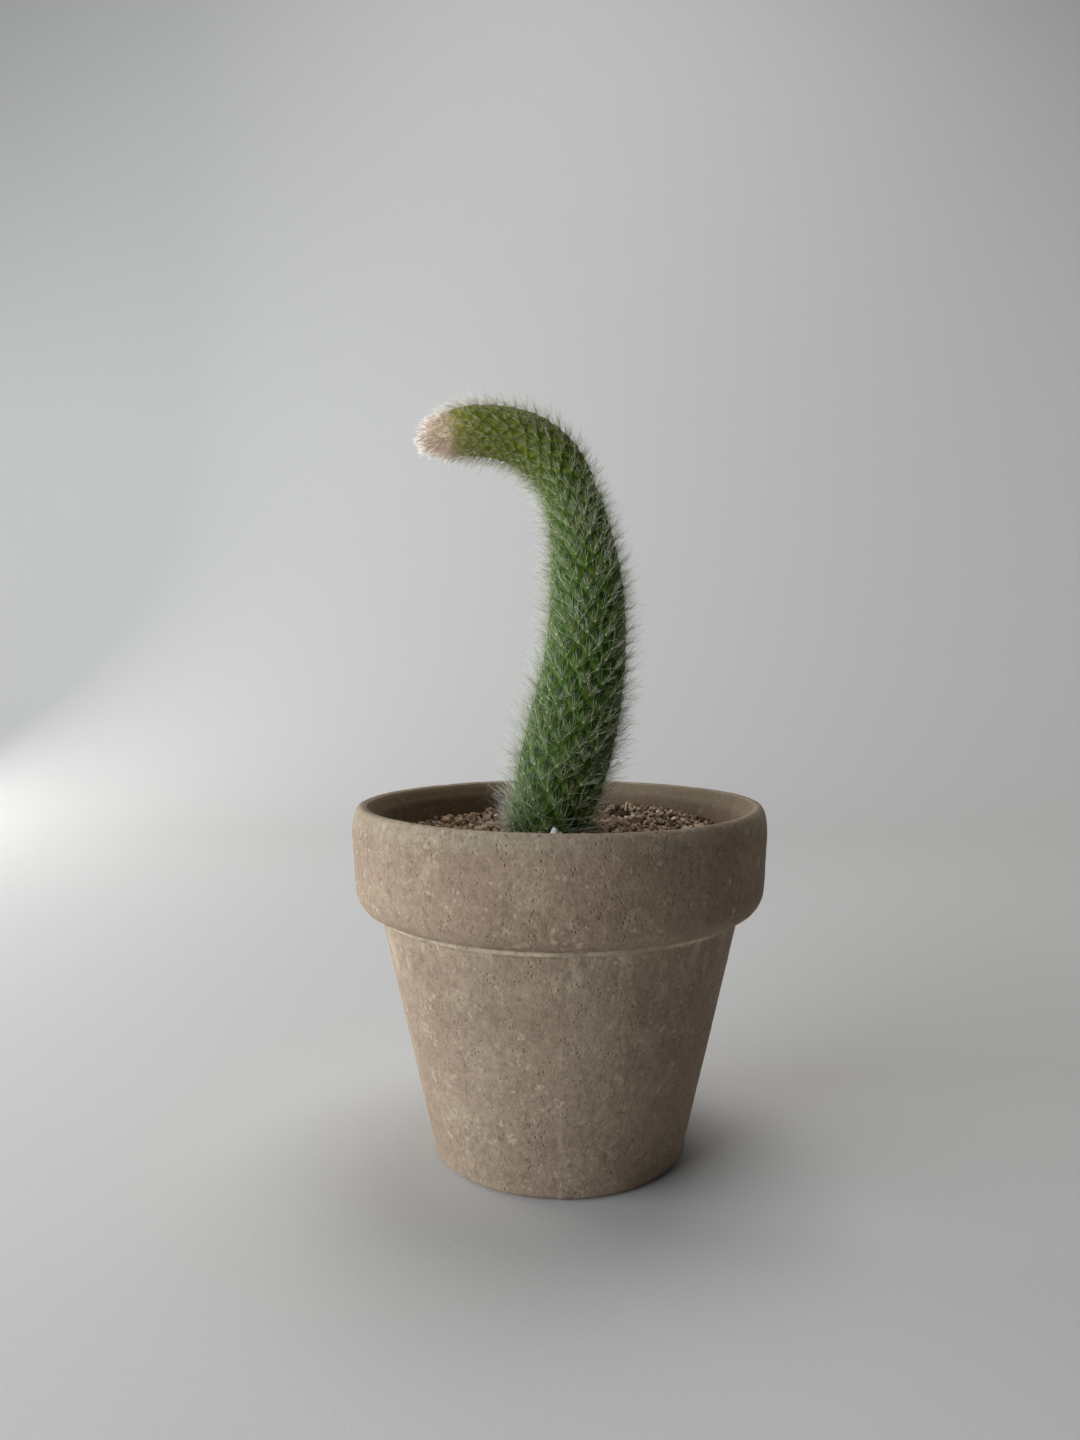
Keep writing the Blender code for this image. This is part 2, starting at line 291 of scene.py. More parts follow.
def area_light(name, at, look_at, size, size_y, power, colour):
    light = bpy.data.lights.new(name, "AREA")
    light.shape = "RECTANGLE"
    light.size, light.size_y = size, size_y
    light.energy = power
    light.color = colour
    ob = bpy.data.objects.new(name, light)
    ob.location = at
    ob.rotation_euler = (Vector(look_at) - Vector(at)).to_track_quat("-Z", "Y").to_euler()
    scene.collection.objects.link(ob)
    return ob


area_light("key", (-0.95, -0.48, 0.25), (0.0, 0.0, 0.12), 1.1, 0.65, 17.2, (0.905, 0.955, 1.0))
area_light("left_edge", (-0.80, 0.42, 0.16), (0.0, 0.0, 0.13), 0.55, 0.55, 5.0, (1.0, 0.985, 0.96))
area_light("top", (0.10, 0.32, 1.40), (0.0, 0.0, 0.12), 0.8, 0.8, 7.8, (1.0, 0.985, 0.97))
area_light("backdrop_left", (-1.0, 0.45, 0.35), (-0.25, 1.30, 0.30), 0.8, 0.5, 1.15, (1.0, 0.985, 0.955))
area_light("backdrop_right", (1.05, 0.45, 0.35), (0.25, 1.30, 0.30), 0.8, 0.5, 1.15, (1.0, 1.0, 1.0))
area_light("warm_low", (0.60, -0.50, 0.03), (0.0, 0.0, 0.06), 0.35, 0.25, 0.10, (1.0, 0.60, 0.34))


def sweep():
    """A pale floor that curves up into a backdrop."""
    depth, lift, bend, half = 1.0, 2.2, 0.45, 2.6
    line = [(-2.2, 0.0), (-1.0, 0.0), (depth - bend, 0.0)]
    line += [(depth - bend + bend * math.sin(a), bend - bend * math.cos(a)) for a in np.linspace(0.1, math.pi / 2, 14)]
    line += [(depth, lift)]
    xs = np.linspace(-half, half, 9)
    verts = np.array([(x, y, z) for y, z in line for x in xs])
    n, m = len(line), len(xs)
    quads = np.array([(i * m + j, i * m + j + 1, (i + 1) * m + j + 1, (i + 1) * m + j)
                      for i in range(n - 1) for j in range(m - 1)])
    k = Nodes("pale_paper")
    grain = k.noise(900, 2)
    tone = k.mix(grain, lin(200, 200, 199), lin(205, 205, 204))
    k.finish(tone, 0.9, k.bump(grain, 0.0002, 0.15))
    ob = mesh_of("floor_sweep", verts, [quads], k.mat)
    return ob


sweep()


# =====================================================================
# pot
# =====================================================================
POT_H, RIM_R, BASE_R, NECK_R, NECK_Z = 101.1, 60.0, 36.8, 52.3, 71.2
COLLAR_LOW_R, COLLAR_LOW_Z, COLLAR_TOP_Z, CREST_R = 59.2, 78.3, 93.3, 57.8
WALL, FLOOR, HOLE_R = 5.1, 7.0, 8.5
TAPER = (NECK_R - BASE_R) / NECK_Z


def inner_r(z):
    return BASE_R + TAPER * z - WALL


def walked(points, step):
    """A polyline resampled to even steps, corners kept close."""
    p = np.array(points, float)
    d = np.concatenate([[0], np.cumsum(np.hypot(*np.diff(p, axis=0).T))])
    n = max(int(round(d[-1] / step)), 1)
    t = np.linspace(0, d[-1], n + 1)
    return np.stack([np.interp(t, d, p[:, 0]), np.interp(t, d, p[:, 1])], 1)


def ellipse(cx, cz, rx, rz, a0, a1, n):
    return [(cx + rx * math.cos(math.radians(a)), cz + rz * math.sin(math.radians(a))) for a in np.linspace(a0, a1, n)]


def pot_profile():
    """The outline in mm, from the crest out and down the outside, under, up the hole, across and up the inside."""
    lip_z = POT_H - 2.6
    lip_r = inner_r(lip_z) + 0.9
    outer = ellipse(CREST_R, COLLAR_TOP_Z, RIM_R - CREST_R, POT_H - COLLAR_TOP_Z, 90, 0, 24)
    outer += [(RIM_R, COLLAR_TOP_Z), (COLLAR_LOW_R, COLLAR_LOW_Z)]
    outer += ellipse(NECK_R + 0.5, COLLAR_LOW_Z, COLLAR_LOW_R - NECK_R - 0.5, COLLAR_LOW_Z - NECK_Z, 0, -90, 22)
    # a thin bead of slip where the collar meets the body
    outer += [(NECK_R + 0.50, NECK_Z - 0.05), (NECK_R + 0.56, NECK_Z - 0.45), (NECK_R + 0.46, NECK_Z - 0.95), (NECK_R - 0.05, NECK_Z - 1.45), (NECK_R - TAPER * 2.4, NECK_Z - 2.4)]
    outer += [(BASE_R + TAPER * 2.6, 2.6)]
    outer += ellipse(BASE_R - 1.9, 2.0, 2.05 + TAPER * 2.0, 2.0, 0, -90, 9)
    under = [(BASE_R - 1.9, 0.0), (BASE_R - 6.0, 0.0), (BASE_R - 7.2, 0.45), (HOLE_R + 2.4, 0.45), (HOLE_R + 0.9, 0.6),
             (HOLE_R + 0.25, 1.0), (HOLE_R, 1.9), (HOLE_R, FLOOR - 0.9), (HOLE_R + 0.9, FLOOR)]
    inside = [(HOLE_R + 0.9, FLOOR), (inner_r(FLOOR) - 2.0, FLOOR), (inner_r(FLOOR) - 0.4, FLOOR + 0.6),
              (inner_r(FLOOR + 2.2), FLOOR + 2.2), (inner_r(84.0), 84.0)]
    lip = [(inner_r(84.0), 84.0), (inner_r(lip_z - 1.2), lip_z - 1.2), (lip_r - 0.35, lip_z)]
    lip += ellipse(CREST_R, lip_z, CREST_R - lip_r, POT_H - lip_z, 176, 90, 14)
    parts = [walked(outer, 0.82), walked(under, 1.6)[1:], walked(inside, 4.0)[1:], walked(lip, 0.85)[1:-1]]
    return np.concatenate(parts), [len(p) for p in parts]


def build_pot():
    prof, counts = pot_profile()
    around = 440
    n = len(prof)
    th = np.arange(around) * TAU / around
    r = prof[:, 0][:, None] + np.zeros((1, around))
    z = prof[:, 1][:, None] + np.zeros((1, around))
    # outward direction of the profile at each point
    d = np.roll(prof, -1, 0) - np.roll(prof, 1, 0)
    d /= np.maximum(np.hypot(*d.T), 1e-9)[:, None]
    nr, nz = -d[:, 1][:, None], d[:, 0][:, None]
    x, y = r * np.cos(th), r * np.sin(th)
    P = np.stack([x, y, z], -1).reshape(-1, 3)
    outside = np.zeros(n)
    outside[:counts[0]] = 1.0
    outside[sum(counts[:3]):] = 0.8
    outside[counts[0]:counts[0] + 8] = 0.4
    weight = (outside[:, None] + np.zeros((1, around))).ravel()
    height = prof[:, 1][:, None].repeat(around, 1).ravel()
    # broad throwing and drying unevenness, then faint turning ridges and skin texture
    sway = fractal(P * (1, 1, 0.55), 38.0, 2, 3) * 0.16
    ridges = noise3(np.stack([P[:, 0] * 0.02, P[:, 1] * 0.02, P[:, 2]], 1), 2.3, 9) * 0.035
    fine = fractal(P, 3.2, 3, 21) * 0.055
    lumps = np.maximum(fractal(P * (1, 1, 0.8), 6.5, 2, 55), 0.0) ** 2 * 0.25
    push = (sway + ridges + fine + lumps) * weight
    # pits and pocks that are real dents: upright on the body, lying along the turning near the lip
    rs = rng_of(77)
    outer_rows = counts[0]
    th_all = np.tile(th, n)
    pits = np.zeros(len(P))
    for i in range(120):
        lip = i % 5 < 2
        a, h = rs.uniform(0, TAU), rs.uniform(93, 99.0) if lip else rs.uniform(2.5, 93)
        wide, tall, deep = rs.uniform(0.50, 0.85), rs.uniform(0.6, 1.25), rs.uniform(0.10, 0.30)
        if lip:
            wide, tall = rs.uniform(0.6, 1.5), rs.uniform(0.45, 0.7)
        near = np.abs(height - h) < tall * 2.2
        da = (th_all[near] - a + math.pi) % TAU - math.pi
        rad = np.hypot(P[near, 0], P[near, 1])
        q = (da * rad / wide) ** 2 + ((height[near] - h) / tall) ** 2
        pits[near] += deep * np.exp(-q * 1.6)
    rows = np.repeat(np.arange(n), around)
    push -= np.where(rows < outer_rows - 6, pits, 0.0) * 1.0
    # nicks along the crest
    for a, wide, deep in ((-2.25, 1.6, 0.35), (-1.05, 2.2, 0.25), (0.7, 1.8, 0.22), (2.3, 1.5, 0.20), (-0.35, 1.3, 0.25), (1.6, 2.4, 0.18)):
        da = (th_all - a + math.pi) % TAU - math.pi
        d2 = (da * 58.0 / wide) ** 2 + ((height - 100.4) / 1.3) ** 2 + ((np.hypot(P[:, 0], P[:, 1]) - 58.6) / 2.0) ** 2
        push -= deep * np.exp(-d2)
    push = push.reshape(n, around)
    r2 = r + nr * push
    z2 = z + nz * push
    z2 = np.where(z < 0.01, 0.0, np.maximum(z2, 0.0))
    # the rim isn't quite a true circle, and the crest isn't quite level
    z2 = z2 + np.where(z > 60, (z - 60) / 41 * 0.16 * (np.sin(th * 2 + 0.7) + 0.5 * np.sin(th * 3 + 2.0)), 0.0)
    verts = np.stack([r2 * np.cos(th), r2 * np.sin(th), z2], -1).reshape(-1, 3) * MM
    i = np.arange(n)[:, None]
    j = np.arange(around)[None]
    a0, a1 = i * around + j, i * around + (j + 1) % around
    b0, b1 = ((i + 1) % n) * around + j, ((i + 1) % n) * around + (j + 1) % around
    quads = np.stack([a0, b0, b1, a1], -1).reshape(-1, 4)
    # the depth of each dent, which the material turns into painted shade
    pit_tone = np.clip(np.where(rows < outer_rows, pits, 0) / 0.3, 0, 1)
    return verts, quads, pit_tone


def clay_material():
    k = Nodes("unglazed_clay_aged")
    x, y, z = k.split(k.coord)[:3]
    radius = k.math("SQRT", k.math("ADD", k.math("MULTIPLY", x, x), k.math("MULTIPLY", y, y)))
    wall = k.math("LESS_THAN", radius, k.math("ADD", k.math("MULTIPLY", z, TAPER), (BASE_R - WALL * 0.55) * MM))
    wall = k.math("MULTIPLY", wall, k.math("GREATER_THAN", z, 0.0072))
    outer = k.math("SUBTRACT", 1.0, k.math("MULTIPLY", wall, 0.65))
    collar = k.math("MULTIPLY", k.remap(z, 0.0712, 0.0724, 0, 1), k.math("SUBTRACT", 1.0, wall))
    # body colour: warm grey-brown with broad clouding; the collar is a shade browner
    cloud = k.noise(34, 3, 0.55)
    base = k.ramp(cloud, [(0.30, lin(139, 121, 104)), (0.50, lin(149, 131, 113)), (0.72, lin(158, 141, 122))])
    base = k.mix(collar, base, (0.93, 0.90, 0.88, 1.0), "MULTIPLY")
    # turning streaks, very faint
    streak = k.noise(1.0, 2, 0.6, k.scaled(14, 14, 300))
    base = k.mix(k.remap(streak, 0.35, 0.75, 0, 0.5), base, (0.90, 0.885, 0.875, 1.0), "MULTIPLY")
    # darker damp patches and greyer, slightly green ones
    damp = k.remap(k.noise(27, 3, 0.5, k.scaled(1, 1, 1.4)), 0.54, 0.72, 0, 0.45)
    base = k.mix(damp, base, (0.80, 0.775, 0.76, 1.0), "MULTIPLY")
    algae = k.remap(k.noise(31, 3, 0.6, k.scaled(1, 1, 0.8)), 0.60, 0.72, 0, 0.42)
    base = k.mix(algae, base, lin(138, 131, 110))
    # salts: soft smears, small flecks, and pale runs under the collar
    smear = k.remap(k.noise(110, 4, 0.62, k.scaled(1, 1, 0.7), 0.9), 0.55, 0.68, 0, 0.42)
    base = k.mix(k.math("MULTIPLY", smear, k.remap(k.noise(24, 2), 0.36, 0.60, 0.25, 1.0)), base, lin(174, 159, 138))
    fleck = k.remap(k.noise(250, 2, 0.5), 0.655, 0.72, 0, 0.55)
    base = k.mix(fleck, base, lin(184, 169, 148))
    runs = k.math("MULTIPLY", k.remap(k.noise(1.0, 3, 0.6, k.scaled(230, 230, 34)), 0.50, 0.68, 0, 0.5),
                  k.math("MULTIPLY", k.remap(z, 0.045, 0.069, 0, 1), k.math("SUBTRACT", k.math("SUBTRACT", 1.0, collar), wall, True)))
    base = k.mix(runs, base, lin(180, 168, 143))
    # lip: greyer with handling and water, and a broken turning line below its rounding
    lip = k.math("MULTIPLY", k.remap(z, 0.0945, 0.0985, 0, 0.8), k.remap(k.noise(60, 3), 0.3, 0.7, 0.35, 1.0))
    base = k.mix(lip, base, lin(152, 140, 120))
    line = k.math("SUBTRACT", 1.0, k.remap(k.math("ABSOLUTE", k.math("SUBTRACT", z, 0.0955)), 0.0001, 0.0005, 0, 1))
    line = k.math("MULTIPLY", k.math("MULTIPLY", line, k.remap(k.noise(190, 2), 0.50, 0.62, 0, 0.30)), k.math("SUBTRACT", 1.0, wall))
    base = k.mix(line, base, (0.66, 0.62, 0.59, 1.0), "MULTIPLY")
    # painted highlight: the bead under the collar is painted paler
    painted_bead_highlight = k.math("SUBTRACT", 1.0, k.remap(k.math("ABSOLUTE", k.math("SUBTRACT", z, 0.0704)), 0.0003, 0.0010, 0, 1))
    painted_bead_highlight = k.math("MULTIPLY", painted_bead_highlight, k.math("SUBTRACT", 1.0, wall))
    base = k.mix(k.math("MULTIPLY", painted_bead_highlight, k.remap(k.noise(60, 2), 0.35, 0.62, 0.30, 0.95)), base, lin(190, 175, 150))
    # painted shade: the whole inside of the pot is darkened; then the mottle and grain of the clay
    base = k.mix(wall, base, (0.64, 0.61, 0.57, 1.0), "MULTIPLY")
    # painted shade: the inside is darker and browner low down near the grit, partly damp, and darker on its left, away
    # from the lamp
    low = k.math("MULTIPLY", wall, k.math("MAXIMUM", k.remap(z, 0.099, 0.091, 0, 0.45), k.remap(x, 0.004, -0.030, 0, 0.85)))
    base = k.mix(low, base, (0.66, 0.60, 0.52, 1.0), "MULTIPLY")
    mottle = k.noise(520, 2, 0.55, k.scaled(1, 1, 0.8))
    base = k.mix(outer, base, k.mix(1.0, base, k.ramp(mottle, [(0.28, 0.83), (0.48, 1.0), (0.70, 1.13)]), "MULTIPLY"))
    speck = k.noise(1500, 2, 0.7, k.scaled(1, 1, 0.85))
    base = k.mix(outer, base, k.mix(1.0, base, k.ramp(speck, [(0.27, 0.70), (0.42, 0.94), (0.58, 1.05), (0.74, 1.28)]), "MULTIPLY"))
    pit = k.voronoi(900, k.scaled(1.0, 1.0, 0.7))
    sparse = k.remap(k.noise(210, 2, 0.5, k.scaled(1, 1, 0.6)), 0.50, 0.62, 0, 1)
    pits = k.math("MULTIPLY", k.math("SUBTRACT", 1.0, k.remap(pit, 0.08, 0.30, 0, 1)), sparse)
    base = k.mix(k.math("MULTIPLY", k.math("MULTIPLY", pits, 0.45), outer), base, (0.56, 0.49, 0.44, 1.0), "MULTIPLY")
    # soft pale spots where salts came through
    spot = k.math("MULTIPLY", k.math("SUBTRACT", 1.0, k.remap(k.voronoi(480), 0.10, 0.40, 0, 1)), k.remap(k.noise(150, 2), 0.48, 0.64, 0, 0.42))
    base = k.mix(k.math("MULTIPLY", spot, outer), base, lin(190, 176, 156))
    # painted shade in the dents, darker the deeper they are
    painted_pit_shade = k.attribute("pits", "Fac")
    base = k.mix(k.math("MULTIPLY", painted_pit_shade, 0.8), base, (0.52, 0.46, 0.41, 1.0), "MULTIPLY")
    rough = k.math("ADD", 0.82, k.math("MULTIPLY", cloud, 0.14))
    grain = k.math("ADD", k.math("MULTIPLY", speck, 0.7), mottle)
    normal = k.bump(k.math("SUBTRACT", grain, k.math("MULTIPLY", pits, 1.6)), 0.00022, 0.8)
    return k.finish(base, rough, normal, Specular_IOR_Level=0.25)


pot_v, pot_f, pot_pits = build_pot()
pot = mesh_of("clay_pot", pot_v, [pot_f], clay_material(), colours={"pits": pot_pits})
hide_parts("pot")
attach(pot, "root")


# =====================================================================
# stem
# =====================================================================
SOIL_X, SOIL_Z = -4.8, 91.0
LEAN_AT = (0.0, 20.0, 40.0, 60.0, 80.0, 95.0, 107.0, 118.0, 130.0, 150.0)
LEAN = (19.1, 13.9, 11.6, 3.1, -5.6, -13.3, -27.1, -54.2, -80.4, -113.5)
SWAY_AT = (0.0, 45.0, 95.0, 125.0, 150.0)
SWAY = (0.0, -1.8, 1.2, 0.2, -3.0)
GIRTH_AT = (-22.0, -14.0, -6.0, 0.0, 14.0, 26.0, 42.0, 60.0, 79.0, 95.0, 107.0, 121.0, 135.0, 150.0)
GIRTH = (2.4, 5.6, 9.0, 10.3, 12.4, 13.1, 12.6, 11.45, 10.2, 8.5, 8.15, 8.2, 7.4, 7.2)
TIP_FROM, LENGTH = 137.0, 150.3


def spline(xs, ys):
    """Natural cubic through the knots, for an array of places."""
    x, y = np.array(xs, float), np.array(ys, float)
    n, h = len(x), np.diff(x)
    a, b = np.eye(n), np.zeros(n)
    for i in range(1, n - 1):
        a[i, i - 1:i + 2] = h[i - 1], 2 * (h[i - 1] + h[i]), h[i]
        b[i] = 6 * ((y[i + 1] - y[i]) / h[i] - (y[i] - y[i - 1]) / h[i - 1])
    m = np.linalg.solve(a, b)

    def at(v):
        v = np.asarray(v, float)
        i = np.clip(np.searchsorted(x, v) - 1, 0, n - 2)
        t, u, g = x[i + 1] - v, v - x[i], h[i]
        return (m[i] * t ** 3 + m[i + 1] * u ** 3) / (6 * g) + (y[i] / g - m[i] * g / 6) * t + (y[i + 1] / g - m[i + 1] * g / 6) * u
    return at


lean, sway, girth = spline(LEAN_AT, LEAN), spline(SWAY_AT, SWAY), spline(GIRTH_AT, GIRTH)


def stem_axis():
    """Centreline in mm with a frame that doesn't twist: lengths, points, tangents, two normals."""
    step = 0.25
    up = np.arange(0, LENGTH + 1.0, step)
    a = np.radians(lean(up + step / 2))
    x = SOIL_X + np.concatenate([[0], np.cumsum(np.sin(a) * step)])[:-1]
    z = SOIL_Z + np.concatenate([[0], np.cumsum(np.cos(a) * step)])[:-1]
    y = sway(np.minimum(up, LENGTH))
    down = np.arange(step, 22.5, step)
    b = np.radians(LEAN[0] * np.maximum(1 - (down - step / 2) / 30.0, 0.2))
    xd = SOIL_X - np.cumsum(np.sin(b) * step)
    zd = SOIL_Z - np.cumsum(np.cos(b) * step)
    s = np.concatenate([-down[::-1], up])
    p = np.concatenate([np.stack([xd, 0 * xd, zd], 1)[::-1], np.stack([x, y, z], 1)])
    t = np.gradient(p, axis=0)
    t /= np.linalg.norm(t, axis=1)[:, None]
    n = np.zeros_like(t)
    v = np.array([0.0, -1.0, 0.0])
    for i in range(len(t)):
        v = v - t[i] * (v @ t[i])
        v /= np.linalg.norm(v)
        n[i] = v
    return s, p, t, n, np.cross(t, n)


AX_S, AX_P, AX_T, AX_N, AX_B = stem_axis()


def along(s, table):
    return np.stack([np.interp(s, AX_S, table[:, k]) for k in range(3)], -1)


def stem_r(s):
    s = np.asarray(s, float)
    u = np.clip((s - TIP_FROM) / (LENGTH - TIP_FROM), 0, 1)
    return np.where(s <= TIP_FROM, girth(s), girth(TIP_FROM) * np.sqrt(np.maximum(1 - u * u, 0)))


# The areoles sit on a diamond lattice, each row half a step on from the last:
# 13.5 to a turn up to a growth ring under the arch, and 10.5 to a turn past it.
RING = 103.0
ROW_AT = (-10.0, 0.0, 26.0, 60.0, 85.0, 105.0, 118.0, 136.0, 143.0, 152.0)
ROW_GAP = (3.1, 3.3, 3.5, 3.3, 3.1, 2.8, 2.5, 2.3, 1.8, 1.2)      # mm between rows
_rs = np.arange(-12, 153, 0.1)
_rows = np.concatenate([[0], np.cumsum(0.1 / np.interp(_rs, ROW_AT, ROW_GAP))])[:-1]


def row_of(s):
    return np.interp(s, _rs, _rows)


def s_of_row(q):
    return np.interp(q, _rows, _rs)


def ring_of(theta):
    return RING + 1.3 * np.sin(3 * theta + 0.7) + 0.8 * np.sin(5 * theta + 2.1)


def diamond(theta, s, first):
    """Nearest tubercle and the place inside its diamond: cell number, across, along (-1 to 1)."""
    per = first + 0.5
    x, q = theta / TAU * per, row_of(s)            # x in steps round, q in rows
    # basis: `first` on = half a step back, the next one = half a step forward
    pa, pb = first / per, (first + 1) / per
    a = (q - 2 * pb * x) / (pa + pb)
    b = 2 * x + a
    ia, ib = np.round(a), np.round(b)
    fa, fb = a - ia, b - ib
    return first * ia + (first + 1) * ib, fb - fa, fa + fb


def sway(theta, s):
    """A slow unevenness of the lattice: turn in radians, shift along in mm."""
    turn = (0.50 * np.sin(2 * theta + s / 5.5 + 1.0) + 0.34 * np.sin(5 * theta - s / 3.7)) / 9.0
    return turn, 0.46 * np.sin(3 * theta + s / 4.9) + 0.32 * np.sin(4 * theta - s / 6.1 + 2.0)


def lattice(theta, s):
    turn, shift = sway(theta, s)
    past = s >= ring_of(theta)
    theta, s = theta + turn, s + shift
    low, high = diamond(theta, s, 13), diamond(theta, s, 10)
    return np.where(past, high[0] + 50000, low[0]), np.where(past, high[1], low[1]), np.where(past, high[2], low[2])


def relief(s):
    """Height of a tubercle, mm."""
    return np.interp(s, (-5, 20, 60, 95, 112, 130, 142, 149), (0.40, 0.44, 0.50, 0.66, 0.74, 0.66, 0.42, 0.1))


def bump_of(theta, s):
    """Relief of the tubercles, 0 to 1: blunt scales, each with a chin on its root side and a long slope to the tip."""
    cell, across, up = lattice(theta, s)
    reach = np.maximum(1 - np.sqrt(across ** 2 + 0.004), 0.02)
    over = np.maximum(up + reach, 0.0)                  # rows from the chin's edge
    q = np.clip(over / (2 * reach), 0, 1)
    ring = 1 - 0.75 * np.exp(-((s - ring_of(theta)) / 1.1) ** 2)
    full = smooth(reach / 0.45) * ring
    h = smooth(over / np.interp(s, (95, 120), (0.26, 0.38))) * (1 - q) ** 0.85 * (0.35 + 0.65 * full) * ring
    return h, over, q, full, cell


def surface(theta, s, lift=0.0):
    """A point of the skin and its outward direction."""
    c, n, b = along(s, AX_P), along(s, AX_N), along(s, AX_B)
    out = np.cos(theta)[..., None] * n + np.sin(theta)[..., None] * b
    h = bump_of(theta, s)[0]
    r = stem_r(s) + relief(s) * (h - 0.72) + lift
    return c + out * np.maximum(r, 0.05)[..., None], out


def build_skin():
    rows = []
    s = -7.0
    while s < 108:
        rows.append(s)
        s += 0.43
    while s < TIP_FROM:
        rows.append(s)
        s += 0.34
    rows += list(TIP_FROM + (LENGTH - TIP_FROM) * np.sin(np.radians(np.linspace(0, 89.0, 44))))
    rows = np.array(rows)
    around = 232
    th = np.arange(around) * TAU / around
    S, T = np.meshgrid(rows, th, indexing="ij")
    p, out = surface(T.ravel(), S.ravel())
    h, over, q, full, cell = bump_of(T.ravel(), S.ravel())
    # soft unevenness, so that no two tubercles are quite alike
    each = cell_hash((cell + 5000).astype(np.int64), np.zeros(len(cell), np.int64), np.zeros(len(cell), np.int64), 5)
    fade = np.clip((LENGTH - 2 - S.ravel()) / 8, 0, 1)
    p = p + out * ((fractal(p, 2.2, 2, 40) * 0.06 + (each - 0.5) * 0.20 * h) * fade)[:, None]
    # the pale crest of each chin, partly pale skin and partly a painted highlight, and painted shade that deepens away
    # from it, under the next tubercle's chin
    rim = np.exp(-(np.maximum(over - 0.30, 0) / 0.34) ** 2) * smooth(over / 0.16) * full
    foot = np.clip(smooth((q - 0.28) / 0.72) * 0.9, 0, 1)
    n = len(rows)
    i = np.arange(n - 1)[:, None]
    j = np.arange(around)[None]
    quads = np.stack([i * around + j, i * around + (j + 1) % around, (i + 1) * around + (j + 1) % around, (i + 1) * around + j], -1).reshape(-1, 4)
    tip = len(p)
    p = np.concatenate([p, [along(np.array([LENGTH]), AX_P)[0]]])
    base = (n - 1) * around
    cap = np.array([(base + k, base + (k + 1) % around, tip) for k in range(around)])
    bottom = len(p)
    p = np.concatenate([p, [along(np.array([-7.0]), AX_P)[0]]])
    cap2 = np.array([((k + 1) % around, k, bottom) for k in range(around)])
    tone = np.stack([np.append(foot, [0, 0]), np.append(rim, [0, 0]), np.append(each, [0.5, 0.5])], 1)
    age = np.append(np.clip(S.ravel() / LENGTH, 0, 1), [1, 0])
    return p * MM, quads, np.concatenate([cap, cap2]), tone, age


def skin_material():
    k = Nodes("cactus_skin_green")
    tone = k.split(k.attribute("tone"))
    foot, rim, each = tone[0], tone[1], tone[2]
    age = k.attribute("age", "Fac")
    green = k.ramp(age, [(0.0, lin(30, 54, 8)), (0.20, lin(40, 72, 4)), (0.55, lin(54, 86, 4)), (0.72, lin(62, 88, 0)), (0.84, lin(98, 116, 0)), (0.92, lin(124, 134, 0)), (0.955, lin(142, 140, 40)), (0.968, lin(228, 204, 164)), (1.0, lin(254, 232, 212))])
    painted_furrow_shade = k.ramp(age, [(0.0, lin(14, 26, 4)), (0.5, lin(22, 42, 2)), (0.76, lin(32, 50, 0)), (0.92, lin(58, 72, 0)), (0.96, lin(120, 100, 50)), (1.0, lin(216, 176, 150))])
    # painted shade towards each tubercle's far end under the next chin, then its pale crest, partly pale skin and
    # partly a painted highlight
    body = k.mix(k.math("MULTIPLY", foot, k.remap(age, 0.55, 0.80, 0.90, 0.80)), green, painted_furrow_shade)
    body = k.mix(k.math("MULTIPLY", rim, k.remap(age, 0.58, 0.84, 0.50, 0.66)), body, k.ramp(age, [(0.5, lin(92, 122, 34)), (0.80, lin(138, 146, 62)), (0.95, lin(168, 164, 92))]))
    body = k.mix(k.math("MULTIPLY", each, 0.22), body, lin(40, 64, 4))
    patch = k.noise(110, 3, 0.55)
    body = k.mix(k.remap(patch, 0.45, 0.72, 0, 0.30), body, lin(78, 100, 8))
    dots = k.voronoi(2600)
    body = k.mix(k.math("MULTIPLY", k.math("SUBTRACT", 1.0, k.remap(dots, 0.05, 0.3, 0, 1)), 0.22), body, lin(96, 116, 36))
    height = k.math("ADD", k.noise(1600, 3, 0.6), k.math("MULTIPLY", k.noise(420, 2), 0.7))
    rough = k.remap(k.noise(800, 2), 0.3, 0.7, 0.56, 0.70)
    k.bsdf.inputs["Subsurface Weight"].default_value = 0.12
    k.bsdf.inputs["Subsurface Radius"].default_value = (0.5, 1.0, 0.25)
    k.bsdf.inputs["Subsurface Scale"].default_value = 0.0012
    return k.finish(body, rough, k.bump(height, 0.00016, 0.5), Specular_IOR_Level=0.12)


skin_v, skin_q, skin_t, skin_tone, skin_age = build_skin()
skin = mesh_of("cactus_stem_skin", skin_v, [skin_q, skin_t], skin_material(), colours={"tone": skin_tone, "age": skin_age})
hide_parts("cactus_stem")
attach(skin, "root")


# =====================================================================
# areoles
# =====================================================================
def areole_places():
    """Places round and along the stem, each on its tubercle's chin."""
    th, s = [], []
    for first in (13, 10):
        per = first + 0.5
        k = np.arange(int(row_of(-1.5) * per), int(row_of(149.2) * per))
        a, b = (k / per % 1.0) * TAU, s_of_row(k / per)
        turn, shift = sway(a, b)
        a, b = a - turn, b - shift
        keep = b < ring_of(a) if first == 13 else b >= ring_of(a)
        a, b = a[keep], b[keep]
        b = b - np.interp(b, ROW_AT, ROW_GAP) * 0.56
        if th:
            # none too close to one on the other side of the growth ring
            turn = (a[:, None] - th[0][None] + math.pi) % TAU - math.pi
            gap = np.hypot(turn * stem_r(b)[:, None], b[:, None] - s[0][None]).min(1)
            a, b = a[gap > 2.3], b[gap > 2.3]
        th.append(a)
        s.append(b)
    return np.concatenate(th), np.concatenate(s)


